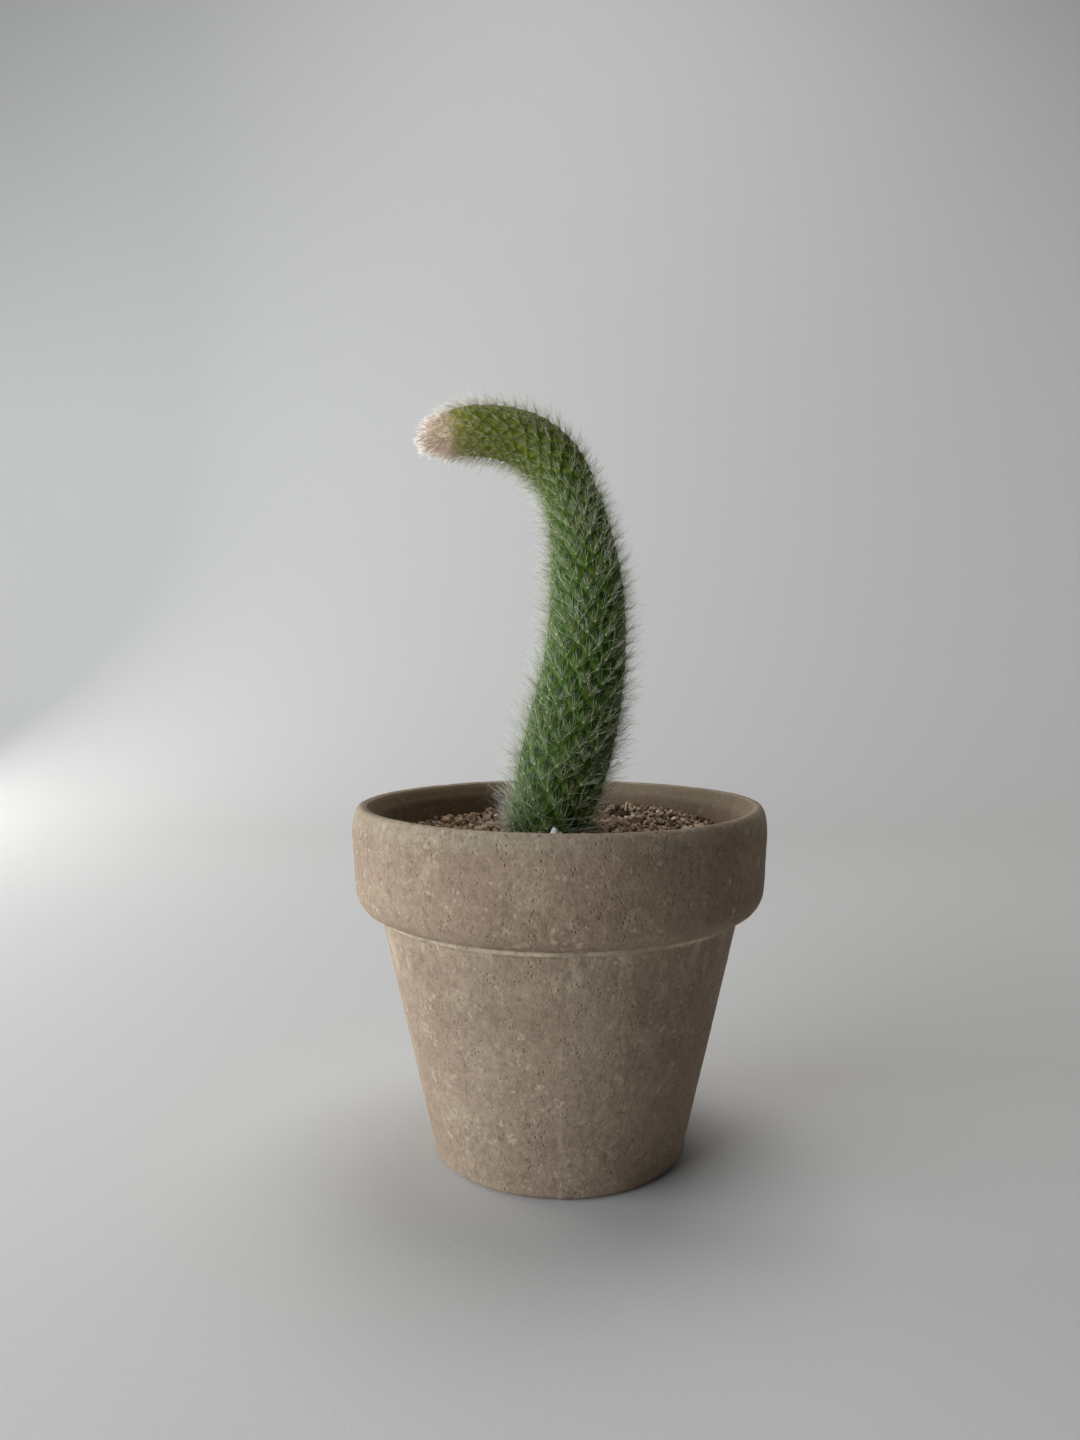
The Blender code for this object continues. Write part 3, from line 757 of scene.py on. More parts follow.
ar_th, ar_s = areole_places()
ar_p, ar_out = surface(ar_th, ar_s)
ar_t = along(ar_s, AX_T)
slope = (stem_r(ar_s + 0.5) - stem_r(ar_s - 0.5)) / 1.0
slope = np.clip(slope, -2.5, 2.5) - 0.16
ar_n = ar_out - ar_t * slope[:, None]
ar_n /= np.linalg.norm(ar_n, axis=1)[:, None]
ar_up = ar_t - ar_n * (ar_t * ar_n).sum(1)[:, None]
ar_up /= np.linalg.norm(ar_up, axis=1)[:, None]
ar_side = np.cross(ar_n, ar_up)


def build_areoles():
    """Little felted cushions, one to a tubercle."""
    bm = bmesh.new()
    bmesh.ops.create_icosphere(bm, subdivisions=2, radius=1.0)
    unit = np.array([v.co[:] for v in bm.verts])
    tris = np.array([[v.index for v in f.verts] for f in bm.faces])
    bm.free()
    rs = rng_of(11)
    verts, faces, shade = [], [], []
    for i in range(len(ar_s)):
        if ar_s[i] < -2:
            continue
        g = np.interp(ar_s[i], (0, 60, 120, 150), (0.37, 0.35, 0.28, 0.20)) * rs.uniform(0.7, 1.2)
        u = unit * (0.92 * g, 1.15 * g, 0.80 * g)
        u = u * (1 + rs.uniform(-0.13, 0.13, len(u)))[:, None]
        w = u[:, :1] * ar_side[i] + u[:, 1:2] * ar_up[i] + u[:, 2:3] * ar_n[i]
        faces.append(tris + len(verts) * len(unit))
        verts.append(ar_p[i] + w)
        shade.append(np.full(len(unit), rs.uniform(0, 1)))
    return np.concatenate(verts) * MM, np.concatenate(faces), np.concatenate(shade)


def wool_material():
    k = Nodes("areole_felt")
    each = k.attribute("each", "Fac")
    colour = k.mix(each, lin(206, 210, 148), lin(158, 160, 104))
    fuzz = k.noise(5200, 2, 0.7)
    colour = k.mix(k.remap(fuzz, 0.35, 0.7, 0, 0.5), colour, lin(230, 226, 190))
    return k.finish(colour, 0.85, k.bump(fuzz, 0.0001, 0.8), Specular_IOR_Level=0.2)


w_v, w_f, w_each = build_areoles()
wool = mesh_of("areole_cushions", w_v, [w_f], wool_material(), colours={"each": w_each})
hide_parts("cactus_stem")
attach(wool, "root")


# =====================================================================
# spines: fine, soft, hair-like, swept towards the tip
# =====================================================================
SHADES = 8     # columns of the strand map: 0 white, 1 mid grey, 2 green white, 3 cream, 4 pale green, 5 rosy cream, 6 tan, 7 brown


def strands(name, root, ctrl, tip, r0, r1, shade, segments=4, mat=None):
    """Tapered three-sided hairs along quadratic arcs, in mm, as one mesh."""
    m = len(root)
    t = np.arange(segments) / segments
    pts = [(1 - u) ** 2 * root + 2 * u * (1 - u) * ctrl + u * u * tip for u in t]
    tan = [2 * (1 - u) * (ctrl - root) + 2 * u * (tip - ctrl) for u in t]
    ring = []
    for u, p, d in zip(t, pts, tan):
        d = d / np.maximum(np.linalg.norm(d, axis=1), 1e-9)[:, None]
        ref = np.where(np.abs(d[:, 1:2]) < 0.8, np.array([[0.0, 1.0, 0.0]]), np.array([[1.0, 0.0, 0.0]]))
        e1 = np.cross(d, ref)
        e1 /= np.linalg.norm(e1, axis=1)[:, None]
        e2 = np.cross(d, e1)
        rad = ((r0 + (r1 - r0) * u) * (0.42 + 0.58 * min(u / 0.5, 1.0)))[:, None]
        for k in range(3):
            a = TAU * k / 3
            ring.append(p + rad * (math.cos(a) * e1 + math.sin(a) * e2))
    ring.append(tip)
    verts = np.stack(ring, 1)                        # (m, 3*segments+1, 3)
    per = verts.shape[1]
    quads, tris, quv, tuv = [], [], [], []
    for i in range(segments - 1):
        for k in range(3):
            k2 = (k + 1) % 3
            quads.append((3 * i + k, 3 * i + k2, 3 * i + 3 + k2, 3 * i + 3 + k))
            quv.append(((k / 3, t[i]), ((k + 1) / 3, t[i]), ((k + 1) / 3, t[i + 1]), (k / 3, t[i + 1])))
    i = segments - 1
    for k in range(3):
        tris.append((3 * i + k, 3 * i + (k + 1) % 3, per - 1))
        tuv.append(((k / 3, t[i]), ((k + 1) / 3, t[i]), ((k + 0.5) / 3, 1.0)))
    tris.append((2, 1, 0))
    tuv.append(((0.66, 0.0), (0.33, 0.02), (0.02, 0.0)))
    base = (np.arange(m) * per)[:, None, None]
    Q = (np.array(quads)[None] + base).reshape(-1, 4)
    T = (np.array(tris)[None] + base).reshape(-1, 3)

    def place(uv, count):
        uv = np.array(uv, float)[None].repeat(m, 0)             # (m, faces, corners, 2)
        col = (shade[:, None, None] + 0.08 + 0.84 * uv[..., 0]) / SHADES
        row = 0.02 + 0.96 * uv[..., 1]
        return np.stack([col, row], -1).reshape(-1, 2)
    uv = np.concatenate([place(quv, 4), place(tuv, 3)])
    ob = mesh_of(name, verts.reshape(-1, 3) * MM, [Q, T], mat or hair_mat, uv=uv)
    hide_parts("cactus_stem")
    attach(ob, "root")
    return ob


def hair_material(name, sheen, deep, scale):
    k = Nodes(name)
    k.bsdf.inputs["Sheen Weight"].default_value = sheen
    k.bsdf.inputs["Sheen Roughness"].default_value = 0.4
    n = k.nt.nodes.new("ShaderNodeUVMap")
    n.uv_map = "OFBake"
    u, v = k.split(n.outputs["UV"])[:2]
    tips = [(0, lin(248, 248, 242)), (1, lin(164, 168, 152)), (2, lin(150, 162, 84)), (3, lin(240, 230, 208)),
            (4, lin(150, 176, 108)), (5, lin(255, 246, 234)), (6, lin(184, 162, 120)), (7, lin(104, 88, 72))]
    roots = [(0, lin(152, 166, 110)), (1, lin(82, 104, 50)), (2, lin(96, 114, 34)), (3, lin(176, 166, 116)),
             (4, lin(90, 124, 48)), (5, lin(255, 222, 196)), (6, lin(140, 122, 84)), (7, lin(52, 44, 26))]
    tip = k.ramp(u, [(i / SHADES, c) for i, c in tips], "CONSTANT")
    root = k.ramp(u, [(i / SHADES, c) for i, c in roots], "CONSTANT")
    colour = k.mix(k.remap(v, 0.20, 0.96, 0, 1), root, tip)
    k.bsdf.inputs["Subsurface Weight"].default_value = deep
    k.bsdf.inputs["Subsurface Radius"].default_value = (1.0, 1.0, 1.0)
    k.bsdf.inputs["Subsurface Scale"].default_value = scale
    return k.finish(colour, 0.40, Specular_IOR_Level=0.5)


hair_mat = hair_material("spine_hair", 0.15, 0.4, 0.0002)
apex_mat = hair_material("spine_hair_young", 1.0, 0.0, 0.0002)


def hairs_for(seed, pick, count, length, flat_share):
    """Hairs of the picked areoles: roots, mid points and tips. Most stand and lean to the tip, some lie along the stem."""
    rs = rng_of(seed)
    idx = np.repeat(np.where(pick)[0], count)
    m = len(idx)
    s = ar_s[idx]
    L = np.interp(s, *length) * np.clip(rs.normal(0.90, 0.34, m), 0.30, 1.70)
    # turn from the way to the tip, and rise off the skin
    kind = rs.uniform(0, 1, m)
    flat = rs.uniform(0, 1, m) < flat_share
    turn = rs.normal(0, 1, m) * np.where(flat, 0.24, np.interp(s, (100, 120), (0.85, 0.60)))
    turn = np.where((kind > 0.88) & ~flat, rs.uniform(-math.pi, math.pi, m), turn)
    stand = np.interp(s, (0, 35, 70, 110, 130, 150), (0.94, 0.96, 1.04, 1.10, 1.12, 0.76)) + rs.normal(0, 0.27, m)
    rise = np.where(flat, rs.uniform(0.10, 0.36, m), np.clip(stand, 0.35, 1.50))
    L = np.where(flat, L * 0.95, L)
    n, up, side = ar_n[idx], ar_up[idx], ar_side[idx]
    d = (np.cos(rise) * np.cos(turn))[:, None] * up + (np.cos(rise) * np.sin(turn))[:, None] * side + np.sin(rise)[:, None] * n
    g = np.interp(s, (0, 60, 120, 150), (0.34, 0.31, 0.24, 0.18))[:, None]
    # a part of the coat grows between the areoles
    spread = np.where(flat, 3.6, np.where(rs.uniform(0, 1, m) < np.interp(s, (100, 120), (0.34, 0.5)), 4.2, 0.75))
    root = ar_p[idx] + (rs.normal(0, 1, (m, 1)) * side + rs.normal(0, 1, (m, 1)) * up) * g * spread[:, None] + n * 0.03
    bend = rs.normal(0, 0.16, (m, 3)) + up * rs.uniform(0.0, 0.38, m)[:, None]
    ctrl = root + d * (L * 0.5)[:, None]
    d2 = d + bend
    d2 /= np.linalg.norm(d2, axis=1)[:, None]
    tip = ctrl + d2 * (L * 0.5)[:, None]
    return idx, s, root, ctrl, tip, flat, rs


def keep_off(tip, s, least=0.25):
    """Keeps a hair's far end clear of the skin that it leans over."""
    c = tip.copy()
    grid = np.linspace(-6, LENGTH, 320)
    centre = along(grid, AX_P)
    radius = stem_r(grid) + 0.28
    for a in range(0, len(c), 4000):
        block = c[a:a + 4000]
        d = np.linalg.norm(block[:, None] - centre[None], axis=2) - radius[None]
        i = d.argmin(1)
        gap = d[np.arange(len(block)), i]
        out = block - centre[i]
        out /= np.maximum(np.linalg.norm(out, axis=1), 1e-6)[:, None]
        push = np.maximum(least - gap, 0)
        c[a:a + 4000] = block + out * push[:, None]
    return c


LENGTHS = ((-2, 8, 30, 60, 90, 110, 130, 142, 150), (6.4, 6.8, 6.4, 5.6, 4.8, 4.5, 4.6, 4.0, 3.4))
SHARE_AT = (0, 60, 100, 130, 145)
SHARES = ((0.30, 0.26, 0.12, 0.04, 0.07, 0.00, 0.08, 0.13),
          (0.30, 0.26, 0.12, 0.04, 0.09, 0.00, 0.08, 0.11),
          (0.26, 0.22, 0.14, 0.10, 0.08, 0.00, 0.10, 0.10),
          (0.05, 0.03, 0.32, 0.22, 0.00, 0.00, 0.26, 0.12),
          (0.05, 0.04, 0.06, 0.30, 0.00, 0.42, 0.10, 0.03))


def shade_for(s, flat, rs):
    """A column of the strand map for each hair."""
    table = np.array(SHARES)
    share = np.stack([np.interp(s, SHARE_AT, table[:, k]) for k in range(SHADES)], 1)
    edge = np.cumsum(share, axis=1) / share.sum(1)[:, None]
    out = (rs.uniform(0, 1, len(s))[:, None] > edge).sum(1)
    green = np.where(rs.uniform(0, 1, len(s)) < 0.75, 4, 2)
    return np.where(flat & (s < 140), green, np.minimum(out, SHADES - 1))


def spine_piece(name, seed, lo, hi, count, flat):
    pick = (ar_s >= lo) & (ar_s < hi)
    idx, s, root, ctrl, tip, flat, rs = hairs_for(seed, pick, count, LENGTHS, flat)
    ctrl = keep_off(ctrl, s, 0.16)
    tip = keep_off(tip, s, 0.25)
    # some fine, most stout enough to tell apart
    fine = flat | (rs.uniform(0, 1, len(s)) < 0.34)
    r0 = np.where(fine, rs.uniform(0.026, 0.040, len(s)), rs.uniform(0.036, 0.060, len(s))) * np.interp(s, (0, 100, 122), (1.0, 1.0, 0.82))
    return strands(name, root, ctrl, tip, r0, r0 * 0.5, shade_for(s, flat, rs), 3)


spine_piece("spines_lower", 101, -3.0, 46.0, 36, 0.26)
spine_piece("spines_upper", 202, 46.0, 112.0, 32, 0.26)
spine_piece("spines_arch", 303, 112.0, 149.0, 27, 0.04)


def apex_tuft():
    """The dense brush of new spines over the growing point."""
    rs = rng_of(404)
    m = 720
    deep = 6.0
    s = LENGTH - deep * rs.uniform(0, 1, m) ** 2.1
    th = rs.uniform(0, TAU, m)
    p, out = surface(th, np.minimum(s, LENGTH - 0.05))
    t = along(s, AX_T)
    k = np.clip((s - (LENGTH - deep)) / deep, 0, 1)
    d = out * (0.80 - 0.50 * k)[:, None] + t * (0.95 + 0.45 * k)[:, None] + rs.normal(0, 0.26, (m, 3))
    d /= np.linalg.norm(d, axis=1)[:, None]
    L = rs.uniform(2.4, 6.2, m) * (0.62 + 0.38 * k)
    ctrl = p + d * (L * 0.5)[:, None]
    d2 = d + t * 0.15 + rs.normal(0, 0.16, (m, 3))
    d2 /= np.linalg.norm(d2, axis=1)[:, None]
    tip = ctrl + d2 * (L * 0.5)[:, None]
    shade = np.where(rs.uniform(0, 1, m) < 0.96, 5, 6)
    r0 = rs.uniform(0.090, 0.170, m)
    return strands("spines_apex", p, ctrl, tip, r0, r0 * 0.45, shade, 4, apex_mat)


apex_tuft()


# =====================================================================
# grit
# =====================================================================
LOOSE = [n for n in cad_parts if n.startswith(("grit_grain_", "perlite_pellet", "bark_chip", "wood_sliver", "pale_grain", "grey_green_grain"))]
LOOSE.sort()


def rock_shapes(count, seed, worn):
    """Broken grains: hulls of jittered points, with worn corners or sharp ones."""
    rs = rng_of(seed)
    out = []
    for _ in range(count):
        bm = bmesh.new()
        pts = []
        k = rs.randint(9, 13) if worn else rs.randint(10, 15)
        while len(pts) < k:
            v = rs.normal(0, 1, 3)
            v /= np.linalg.norm(v)
            if all(np.linalg.norm(v - q) > 0.60 for q in pts):
                pts.append(v)
        for v in pts:
            bm.verts.new(v * rs.uniform(0.80, 1.14) * (1.0, rs.uniform(0.74, 1.0), rs.uniform(0.62, 0.92)))
        hull = bmesh.ops.convex_hull(bm, input=bm.verts)
        loose = [g for g in hull["geom_interior"] if isinstance(g, bmesh.types.BMVert)]
        bmesh.ops.delete(bm, geom=loose, context="VERTS")
        if worn:
            bmesh.ops.bevel(bm, geom=list(bm.edges), offset=0.09, segments=1, affect="EDGES", clamp_overlap=True)
        bmesh.ops.triangulate(bm, faces=bm.faces)
        bm.verts.index_update()
        v = np.array([w.co[:] for w in bm.verts])
        v += rs.normal(0, 0.02, v.shape)
        f = np.array([[w.index for w in g.verts] for g in bm.faces])
        bm.free()
        out.append((v, f))
    return out


def turned(v, rs):
    q = rs.normal(0, 1, 4)
    q /= np.linalg.norm(q)
    w, x, y, z = q
    m = np.array([[1 - 2 * (y * y + z * z), 2 * (x * y - z * w), 2 * (x * z + y * w)],
                  [2 * (x * y + z * w), 1 - 2 * (x * x + z * z), 2 * (y * z - x * w)],
                  [2 * (x * z - y * w), 2 * (y * z + x * w), 1 - 2 * (x * x + y * y)]])
    return v @ m.T


def pack_grit():
    """Drops grains one by one onto the lowest places until the bed reaches its level."""
    rs = rng_of(900)
    cell = 0.35
    half = 52.0
    n = int(2 * half / cell) + 1
    gx = -half + np.arange(n) * cell
    X, Y = np.meshgrid(gx, gx, indexing="ij")
    R = np.hypot(X, Y)
    wall = 51.5
    foot = np.hypot(X + 4.6, Y)                 # from the stem's foot
    level = 91.5 + 2.4 * np.exp(-(np.maximum(foot - 11.0, 0) / 9.0) ** 2) + 0.55 * fractal(np.stack([X.ravel(), Y.ravel(), 0 * X.ravel()], 1), 15.0, 2, 7).reshape(X.shape)
    # raked a little higher towards the back right
    level += 1.9 * smooth((X + 4) / 26) * smooth((Y - 6) / 22) + 0.7 * smooth((Y - 18) / 20)
    # a hollow in front of the bark chip
    level -= 1.9 * np.exp(-(((X - 18.5) / 6.5) ** 2 + ((Y - 32.5) / 6.5) ** 2))
    ground = 85.2 + 0 * X
    shut = (R > wall) | (foot < 10.3)
    ground[shut] = 300.0
    worn, sharp = rock_shapes(36, 31, True), rock_shapes(36, 32, False)
    keep = []
    boxes = [(np.array(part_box(o)[0]) * 1000, np.array(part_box(o)[1]) * 1000) for o in LOOSE]
    cap = np.full(X.shape, 400.0)
    for lo, hi in boxes:
        inside = (X > lo[0] - 0.2) & (X < hi[0] + 0.2) & (Y > lo[1] - 0.2) & (Y < hi[1] + 0.2)
        cap[inside] = np.minimum(cap[inside], lo[2])
    for stage in (0, 1):
        goal = np.minimum(level - 1.2, 90.1 + 0 * level) if stage == 0 else level
        if stage == 1:
            for lo, hi in boxes:
                inside = (X > lo[0]) & (X < hi[0]) & (Y > lo[1]) & (Y < hi[1])
                ground[inside] = np.maximum(ground[inside], hi[2])
        misses = 0
        while misses < 260 and len(keep) < (900 if stage == 0 else 3400):
            size = rs.choice([1.15, 1.45, 1.85, 2.3], p=[0.30, 0.32, 0.24, 0.14] if stage else [0.0, 0.1, 0.4, 0.5]) * rs.uniform(0.9, 1.12)
            kind = worn if stage == 1 and rs.uniform(0, 1) < 0.36 else sharp
            v, f = kind[rs.randint(len(kind))]
            v = turned(v * size, rs)
            rad = np.abs(v[:, :2]).max() * 0.86
            best, spot = None, None
            for _ in range(14):
                a, rr = rs.uniform(0, TAU), (wall - rad * 0.9) * math.sqrt(rs.uniform(0, 1))
                x, y = rr * math.cos(a), rr * math.sin(a)
                i0, i1 = int((x - rad + half) / cell), int((x + rad + half) / cell) + 1
                j0, j1 = int((y - rad + half) / cell), int((y + rad + half) / cell) + 1
                g = ground[i0:i1 + 1, j0:j1 + 1]
                dx, dy = gx[i0:i1 + 1][:, None] - x, gx[j0:j1 + 1][None] - y
                q = (dx * dx + dy * dy) / (rad * rad)
                on = q < 1.0
                if g[on].max() > 200:
                    continue
                # the underside is round, so high ground at its edge holds it up less
                under = rad * 0.72 * (1 - np.sqrt(np.maximum(1 - q[on], 0)))
                z = (g[on] - under).max()
                lack = goal[min(max(int((x + half) / cell), 0), n - 1), min(max(int((y + half) / cell), 0), n - 1)] - z
                if stage == 0 and z + 2 * size * 0.72 > cap[i0:i1 + 1, j0:j1 + 1].min():
                    continue
                if best is None or lack > best:
                    best, spot = lack, (x, y, z, i0, i1, j0, j1, q, on)
            if best is None or best < size * 1.05:
                misses += 1
                continue
            misses = 0
            x, y, z, i0, i1, j0, j1, q, on = spot
            low = v[:, 2].min()
            tall = v[:, 2].max() - low
            # the lower layer is given painted shade (0.45) in its colour
            keep.append((v + (x, y, z - low - 0.12), f, rs.uniform(0, 1), rs.uniform(0, 1), 0.45 if stage == 0 else 0.0))
            top = z + tall * (0.45 + 0.5 * np.sqrt(np.maximum(1 - q, 0)))
            g = ground[i0:i1 + 1, j0:j1 + 1]
            g[on] = np.maximum(g[on], top[on])
    return keep, X, Y, R, ground


grains, GX, GY, GR, GROUND = pack_grit()


def build_grit():
    verts, faces, tint = [], [], []
    count = 0
    for v, f, a, b, deep in grains:
        verts.append(v)
        faces.append(f + count)
        # painted shade: darker towards each grain's underside, and darker still in the lower layer
        rise = (v[:, 2] - v[:, 2].min()) / np.ptp(v[:, 2])
        tint.append(np.stack([np.full(len(v), a), np.full(len(v), b), np.clip(deep + 0.78 * (1 - rise) ** 1.6, 0, 0.92)], 1))
        count += len(v)
    # the bed that the lowest grains lie on, just below them and out of sight
    m, rings = 96, 26
    rr = np.linspace(0, 51.3, rings + 1)[1:]
    th = np.arange(m) * TAU / m
    bx, by = rr[:, None] * np.cos(th), rr[:, None] * np.sin(th)
    bp = np.stack([bx.ravel(), by.ravel(), np.zeros(bx.size)], 1)
    bz = 85.6 + fractal(bp, 3.0, 3, 61) * 0.9
    top = np.concatenate([[[0, 0, 85.6]], np.stack([bp[:, 0], bp[:, 1], bz], 1)])
    low = np.concatenate([[[0, 0, 79.4]], np.stack([bp[:, 0] * 0.96, bp[:, 1] * 0.96, 79.4 + 0 * bz], 1)])
    k = len(top)
    fan = np.array([(0, 1 + j, 1 + (j + 1) % m) for j in range(m)])
    i = np.arange(rings - 1)[:, None]
    j = np.arange(m)[None]
    quads = np.stack([1 + i * m + j, 1 + (i + 1) * m + j, 1 + (i + 1) * m + (j + 1) % m, 1 + i * m + (j + 1) % m], -1).reshape(-1, 4)
    e = 1 + (rings - 1) * m
    side = np.array([(e + j, k + e + j, k + e + (j + 1) % m, e + (j + 1) % m) for j in range(m)])
    under = np.array([(k, k + 1 + (j + 1) % m, k + 1 + j) for j in range(m)])
    under_q = (quads + k)[:, ::-1]
    verts += [top, low]
    # the bed is painted in full shade, as dark as the deepest gaps
    tint.append(np.zeros((2 * k, 3)) + (0.5, 0.1, 1.0))
    tri = np.concatenate(faces + [fan + count, under + count])
    quad = np.concatenate([quads, under_q, side]) + count
    return np.concatenate(verts) * MM, tri, quad, np.concatenate(tint)


def grit_colours(k, a, b):
    """Colour of a grain from its two random numbers."""
    shade = k.ramp(a, [(0.0, lin(104, 82, 64)), (0.16, lin(142, 116, 94)), (0.36, lin(172, 144, 120)), (0.55, lin(194, 166, 140)), (0.74, lin(154, 132, 110)), (0.88, lin(208, 186, 160)), (1.0, lin(228, 212, 190))])
    odd = k.ramp(b, [(0.0, lin(150, 122, 96)), (0.924, lin(150, 122, 96)), (0.925, lin(214, 198, 174)), (0.95, lin(58, 42, 34)), (0.98, lin(126, 120, 96))], "CONSTANT")
    use = k.remap(b, 0.895, 0.905, 0, 1)
    return k.mix(use, shade, odd)


def grit_material():
    k = Nodes("grit_grains_clay")
    tint = k.split(k.attribute("tint"))
    colour = grit_colours(k, tint[0], tint[1])
    mottle = k.noise(520, 3, 0.6)
    colour = k.mix(k.remap(mottle, 0.40, 0.72, 0, 0.45), colour, lin(108, 84, 64))
    dust = k.remap(k.noise(1900, 2, 0.6), 0.5, 0.72, 0, 0.45)
    colour = k.mix(dust, colour, lin(220, 200, 176))
    pores = k.voronoi(1500)
    pore = k.math("SUBTRACT", 1.0, k.remap(pores, 0.08, 0.26, 0, 1))
    colour = k.mix(k.math("MULTIPLY", pore, 0.45), colour, lin(70, 52, 42))
    # painted shade towards the grains' undersides, in the lower layer and on the bed
    colour = k.mix(tint[2], colour, lin(30, 19, 12))
    height = k.math("SUBTRACT", k.math("ADD", k.noise(1100, 3, 0.65), k.math("MULTIPLY", mottle, 0.6)), k.math("MULTIPLY", pore, 0.5))
    return k.finish(colour, 0.93, k.bump(height, 0.0003, 0.8), Specular_IOR_Level=0.2)


g_v, g_t, g_q, g_tint = build_grit()
grit = mesh_of("grit_dressing", g_v, [g_t, g_q], grit_material(), smooth_shade=False, colours={"tint": g_tint})
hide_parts("top_dressing")
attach(grit, "root")


# =====================================================================
# the loose pieces that the CAD names
# =====================================================================
def rock_material(name, light, dark, fleck, scale=1.0, rough=0.9):
    k = Nodes(name)
    a = k.noise(420 * scale, 4, 0.6)
    colour = k.mix(k.remap(a, 0.3, 0.7, 0, 1), dark, light)
    b = k.noise(1500 * scale, 2, 0.6)
    colour = k.mix(k.remap(b, 0.56, 0.72, 0, 0.5), colour, fleck)
    pores = k.math("SUBTRACT", 1.0, k.remap(k.voronoi(1300 * scale), 0.08, 0.28, 0, 1))
    colour = k.mix(k.math("MULTIPLY", pores, 0.4), colour, k.mix(0.5, dark, lin(40, 30, 24)))
    height = k.math("SUBTRACT", k.math("ADD", a, k.math("MULTIPLY", b, 0.6)), k.math("MULTIPLY", pores, 0.6))
    return k.finish(colour, rough, k.bump(height, 0.0003, 0.8), Specular_IOR_Level=0.25)


def rock_piece(name, node, mat, seed, smoothing=False, lobes=False, plates=0.0, ragged=0.0):
    """A broken grain at full detail, in the place and size of its CAD node."""
    lo, hi = (np.array(c) * 1000 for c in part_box(node))
    if lobes:
        lo, hi = lo - (0.15, 0, 0), hi + (0.15, 0, 0.55)
    rs = rng_of(seed)
    bm = bmesh.new()
    bmesh.ops.create_icosphere(bm, subdivisions=4, radius=1.0)
    v = np.array([w.co[:] for w in bm.verts])
    f = np.array([[w.index for w in g.verts] for g in bm.faces])
    bm.free()
    if lobes:
        c1, c2 = np.array([-0.30, 0.05, 0.04]), np.array([0.60, -0.05, -0.10])
        r = []
        for d in v:
            best = 0
            for c, rad in ((c1, 0.74), (c2, 0.44)):
                b = d @ c
                disc = b * b - (c @ c - rad * rad)
                if disc > 0:
                    best = max(best, b + math.sqrt(disc))
            r.append(best)
        v = v * np.array(r)[:, None]
        v += v * (fractal(v, 0.50, 4, seed) * 0.20)[:, None]
    else:
        # cut by random planes, like a stone that has been knocked about
        cuts = rs.normal(0, 1, (13, 3))
        cuts /= np.linalg.norm(cuts, axis=1)[:, None]
        depth = rs.uniform(0.58, 0.90, 13)
        reach = np.ones(len(v))
        for c, d in zip(cuts, depth):
            dot = v @ c
            hit = dot > 0.05
            reach[hit] = np.minimum(reach[hit], d / dot[hit])
        v = v * reach[:, None]
        v += v * (fractal(v, 0.5, 4, seed) * 0.09 + fractal(v, 0.9, 4, seed + 9) * ragged)[:, None]
        if plates:
            v[:, 2] += np.floor(v[:, 2] * 5) / 5 * plates - v[:, 2] * plates
    a, b = v.min(0), v.max(0)
    v = (v - (a + b) / 2) / (b - a) * (hi - lo) + (lo + hi) / 2
    ob = mesh_of(name, v * MM, [f], mat, smooth_shade=True)
    ob.data.set_sharp_from_angle(angle=math.radians(34 if not smoothing else 80))
    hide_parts(node)
    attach(ob, "root")
    return ob


BROWN = [rock_material(f"grain_stone_{i}", *c) for i, c in enumerate((
    (lin(182, 150, 118), lin(112, 84, 60), lin(214, 188, 156)),
    (lin(158, 126, 96), lin(90, 66, 46), lin(200, 172, 138)),
    (lin(206, 178, 146), lin(138, 110, 84), lin(230, 208, 178)),
))]
for i in range(1, 11):
    rock_piece(f"large_grain_{i}", f"grit_grain_{i}", BROWN[i % 3], 500 + i)
rock_piece("perlite_bead", "perlite_pellet", rock_material("perlite_white", lin(250, 249, 244), lin(232, 228, 218), lin(254, 253, 250), 1.3, 0.8), 601, True, True)
rock_piece("bark_flake", "bark_chip", rock_material("bark_dark", lin(76, 44, 34), lin(28, 16, 13), lin(150, 112, 92), 0.8, 0.72), 612, plates=0.55, ragged=0.55)
rock_piece("pale_stone_grain", "pale_grain", rock_material("stone_pale", lin(206, 186, 160), lin(160, 138, 116), lin(228, 214, 194)), 623)
rock_piece("grey_green_stone", "grey_green_grain", rock_material("stone_grey_green", lin(132, 132, 112), lin(88, 88, 74), lin(166, 164, 146)), 634)


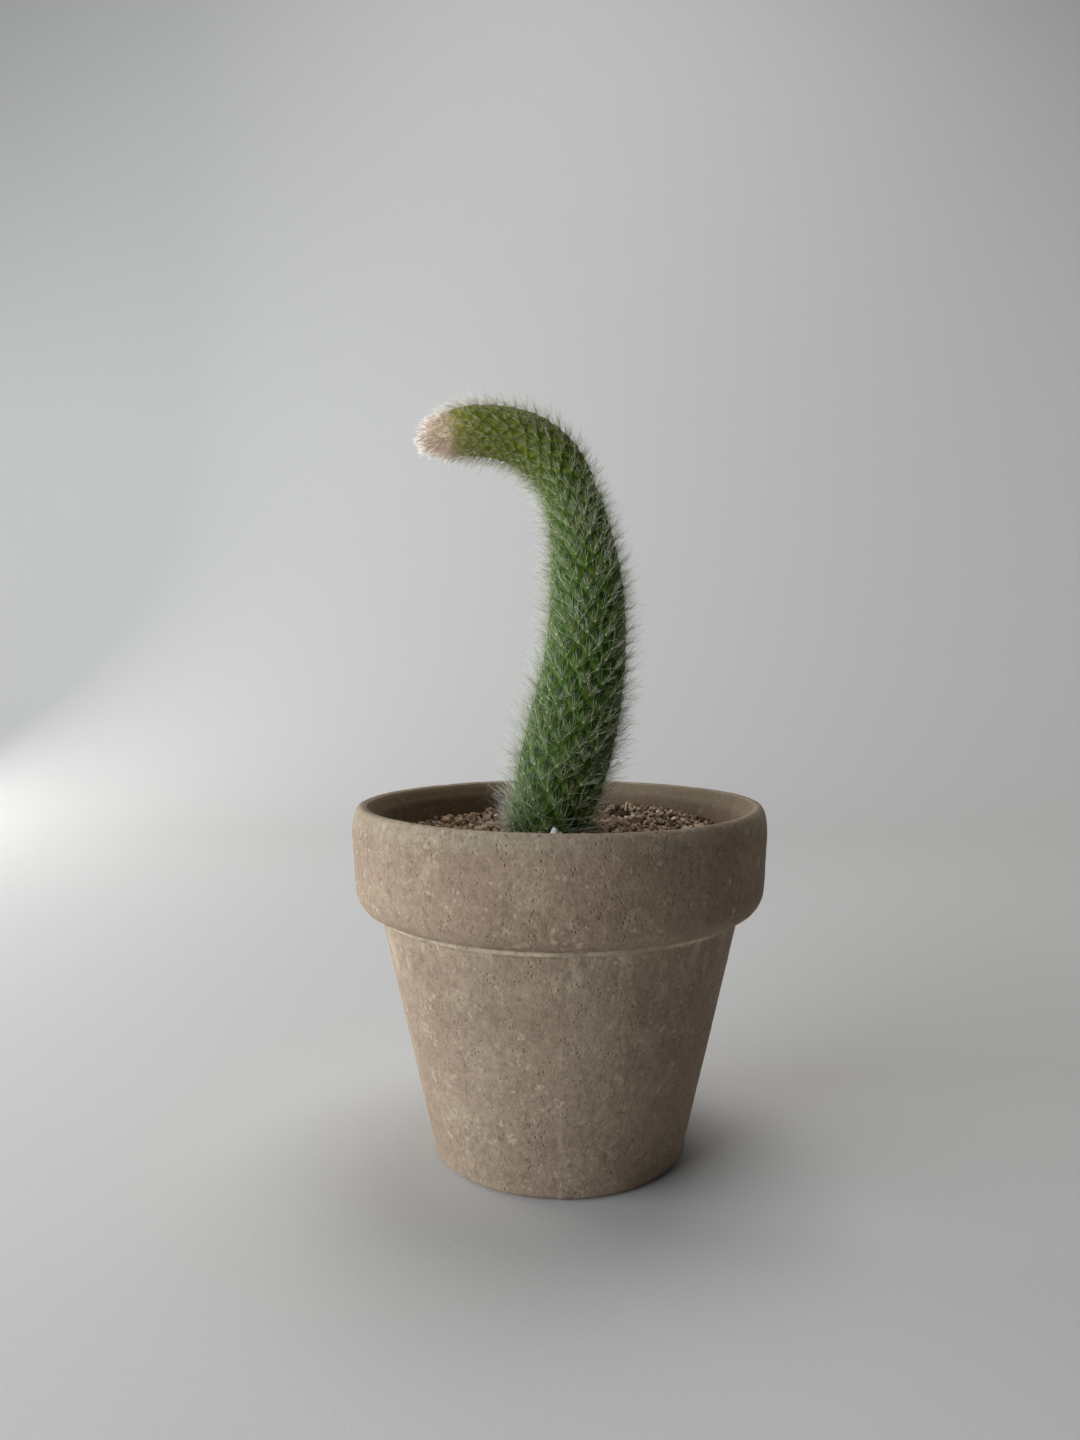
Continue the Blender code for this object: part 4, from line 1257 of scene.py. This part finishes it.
def sliver_piece():
    """A split of dry wood: a ragged wedge that stands in the grit."""
    rs = rng_of(645)
    at = np.array([22.3, 41.2, 92.4])
    rot = Matrix.Rotation(math.radians(25), 3, "Z") @ Matrix.Rotation(math.radians(11), 3, "Y") @ Matrix.Rotation(math.radians(-6), 3, "X")
    rot = np.array(rot)
    rows, m = 22, 14
    verts = []
    for i in range(rows):
        u = i / (rows - 1)
        w = (0.92 - 0.36 * u) * (1 + 0.08 * math.sin(9 * u))
        for j in range(m):
            a = TAU * j / m
            fibre = 1 + 0.16 * math.sin(5 * a + 1.3) + 0.07 * math.sin(9 * a) + rs.uniform(-0.04, 0.04)
            x, y = w * 0.86 * math.cos(a) * fibre, w * 0.66 * math.sin(a) * fibre
            z = -3.4 + 6.9 * u
            if i >= rows - 2:
                z += 0.7 * math.sin(2 * a + 0.6) * (i - rows + 3) / 2 - 0.7
            verts.append((x + 0.25 * math.sin(2.2 * u), y, z))
    verts = np.array(verts)
    k = len(verts)
    verts = np.concatenate([verts, [[0, 0, -3.5], [0.25 * math.sin(2.2), 0, 2.6]]])
    i = np.arange(rows - 1)[:, None]
    j = np.arange(m)[None]
    quads = np.stack([i * m + j, i * m + (j + 1) % m, (i + 1) * m + (j + 1) % m, (i + 1) * m + j], -1).reshape(-1, 4)
    caps = np.array([((j + 1) % m, j, k) for j in range(m)] + [((rows - 1) * m + j, (rows - 1) * m + (j + 1) % m, k + 1) for j in range(m)])
    kk = Nodes("dry_wood_split")
    grain = kk.noise(1.0, 4, 0.6, kk.scaled(2600, 2600, 180))
    colour = kk.mix(kk.remap(grain, 0.3, 0.7, 0, 1), lin(170, 148, 116), lin(222, 206, 176))
    mat = kk.finish(colour, 0.82, kk.bump(grain, 0.0002, 0.8), Specular_IOR_Level=0.25)
    ob = mesh_of("wood_split", (verts @ rot.T + at) * MM, [quads, caps], mat)
    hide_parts("wood_sliver")
    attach(ob, "root")


sliver_piece()


# =====================================================================
# the CAD nodes that stay: the net over the hole and the mix
# =====================================================================
def net_material():
    k = Nodes("net_black_plastic")
    a = k.noise(900, 3, 0.6)
    colour = k.mix(k.remap(a, 0.35, 0.7, 0, 0.6), lin(30, 32, 32), lin(70, 66, 60))
    return k.finish(colour, k.remap(a, 0.3, 0.7, 0.45, 0.75), k.bump(a, 0.0002, 0.5), Specular_IOR_Level=0.4)


def mix_material():
    k = Nodes("potting_mix_dark")
    a = k.noise(420, 4, 0.65)
    colour = k.ramp(a, [(0.3, lin(40, 30, 24)), (0.5, lin(74, 58, 46)), (0.62, lin(112, 92, 76)), (0.72, lin(150, 130, 110))])
    cells = k.voronoi(330)
    colour = k.mix(k.math("MULTIPLY", k.remap(cells, 0.35, 0.6, 0, 1), 0.7), colour, lin(36, 27, 22))
    return k.finish(colour, 0.95, k.bump(k.math("SUBTRACT", a, cells), 0.0009, 0.9), Specular_IOR_Level=0.2)


for node, mat in (("drainage_mesh", net_material()), ("potting_mix", mix_material())):
    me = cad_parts[node].data
    me.materials.clear()
    me.materials.append(mat)
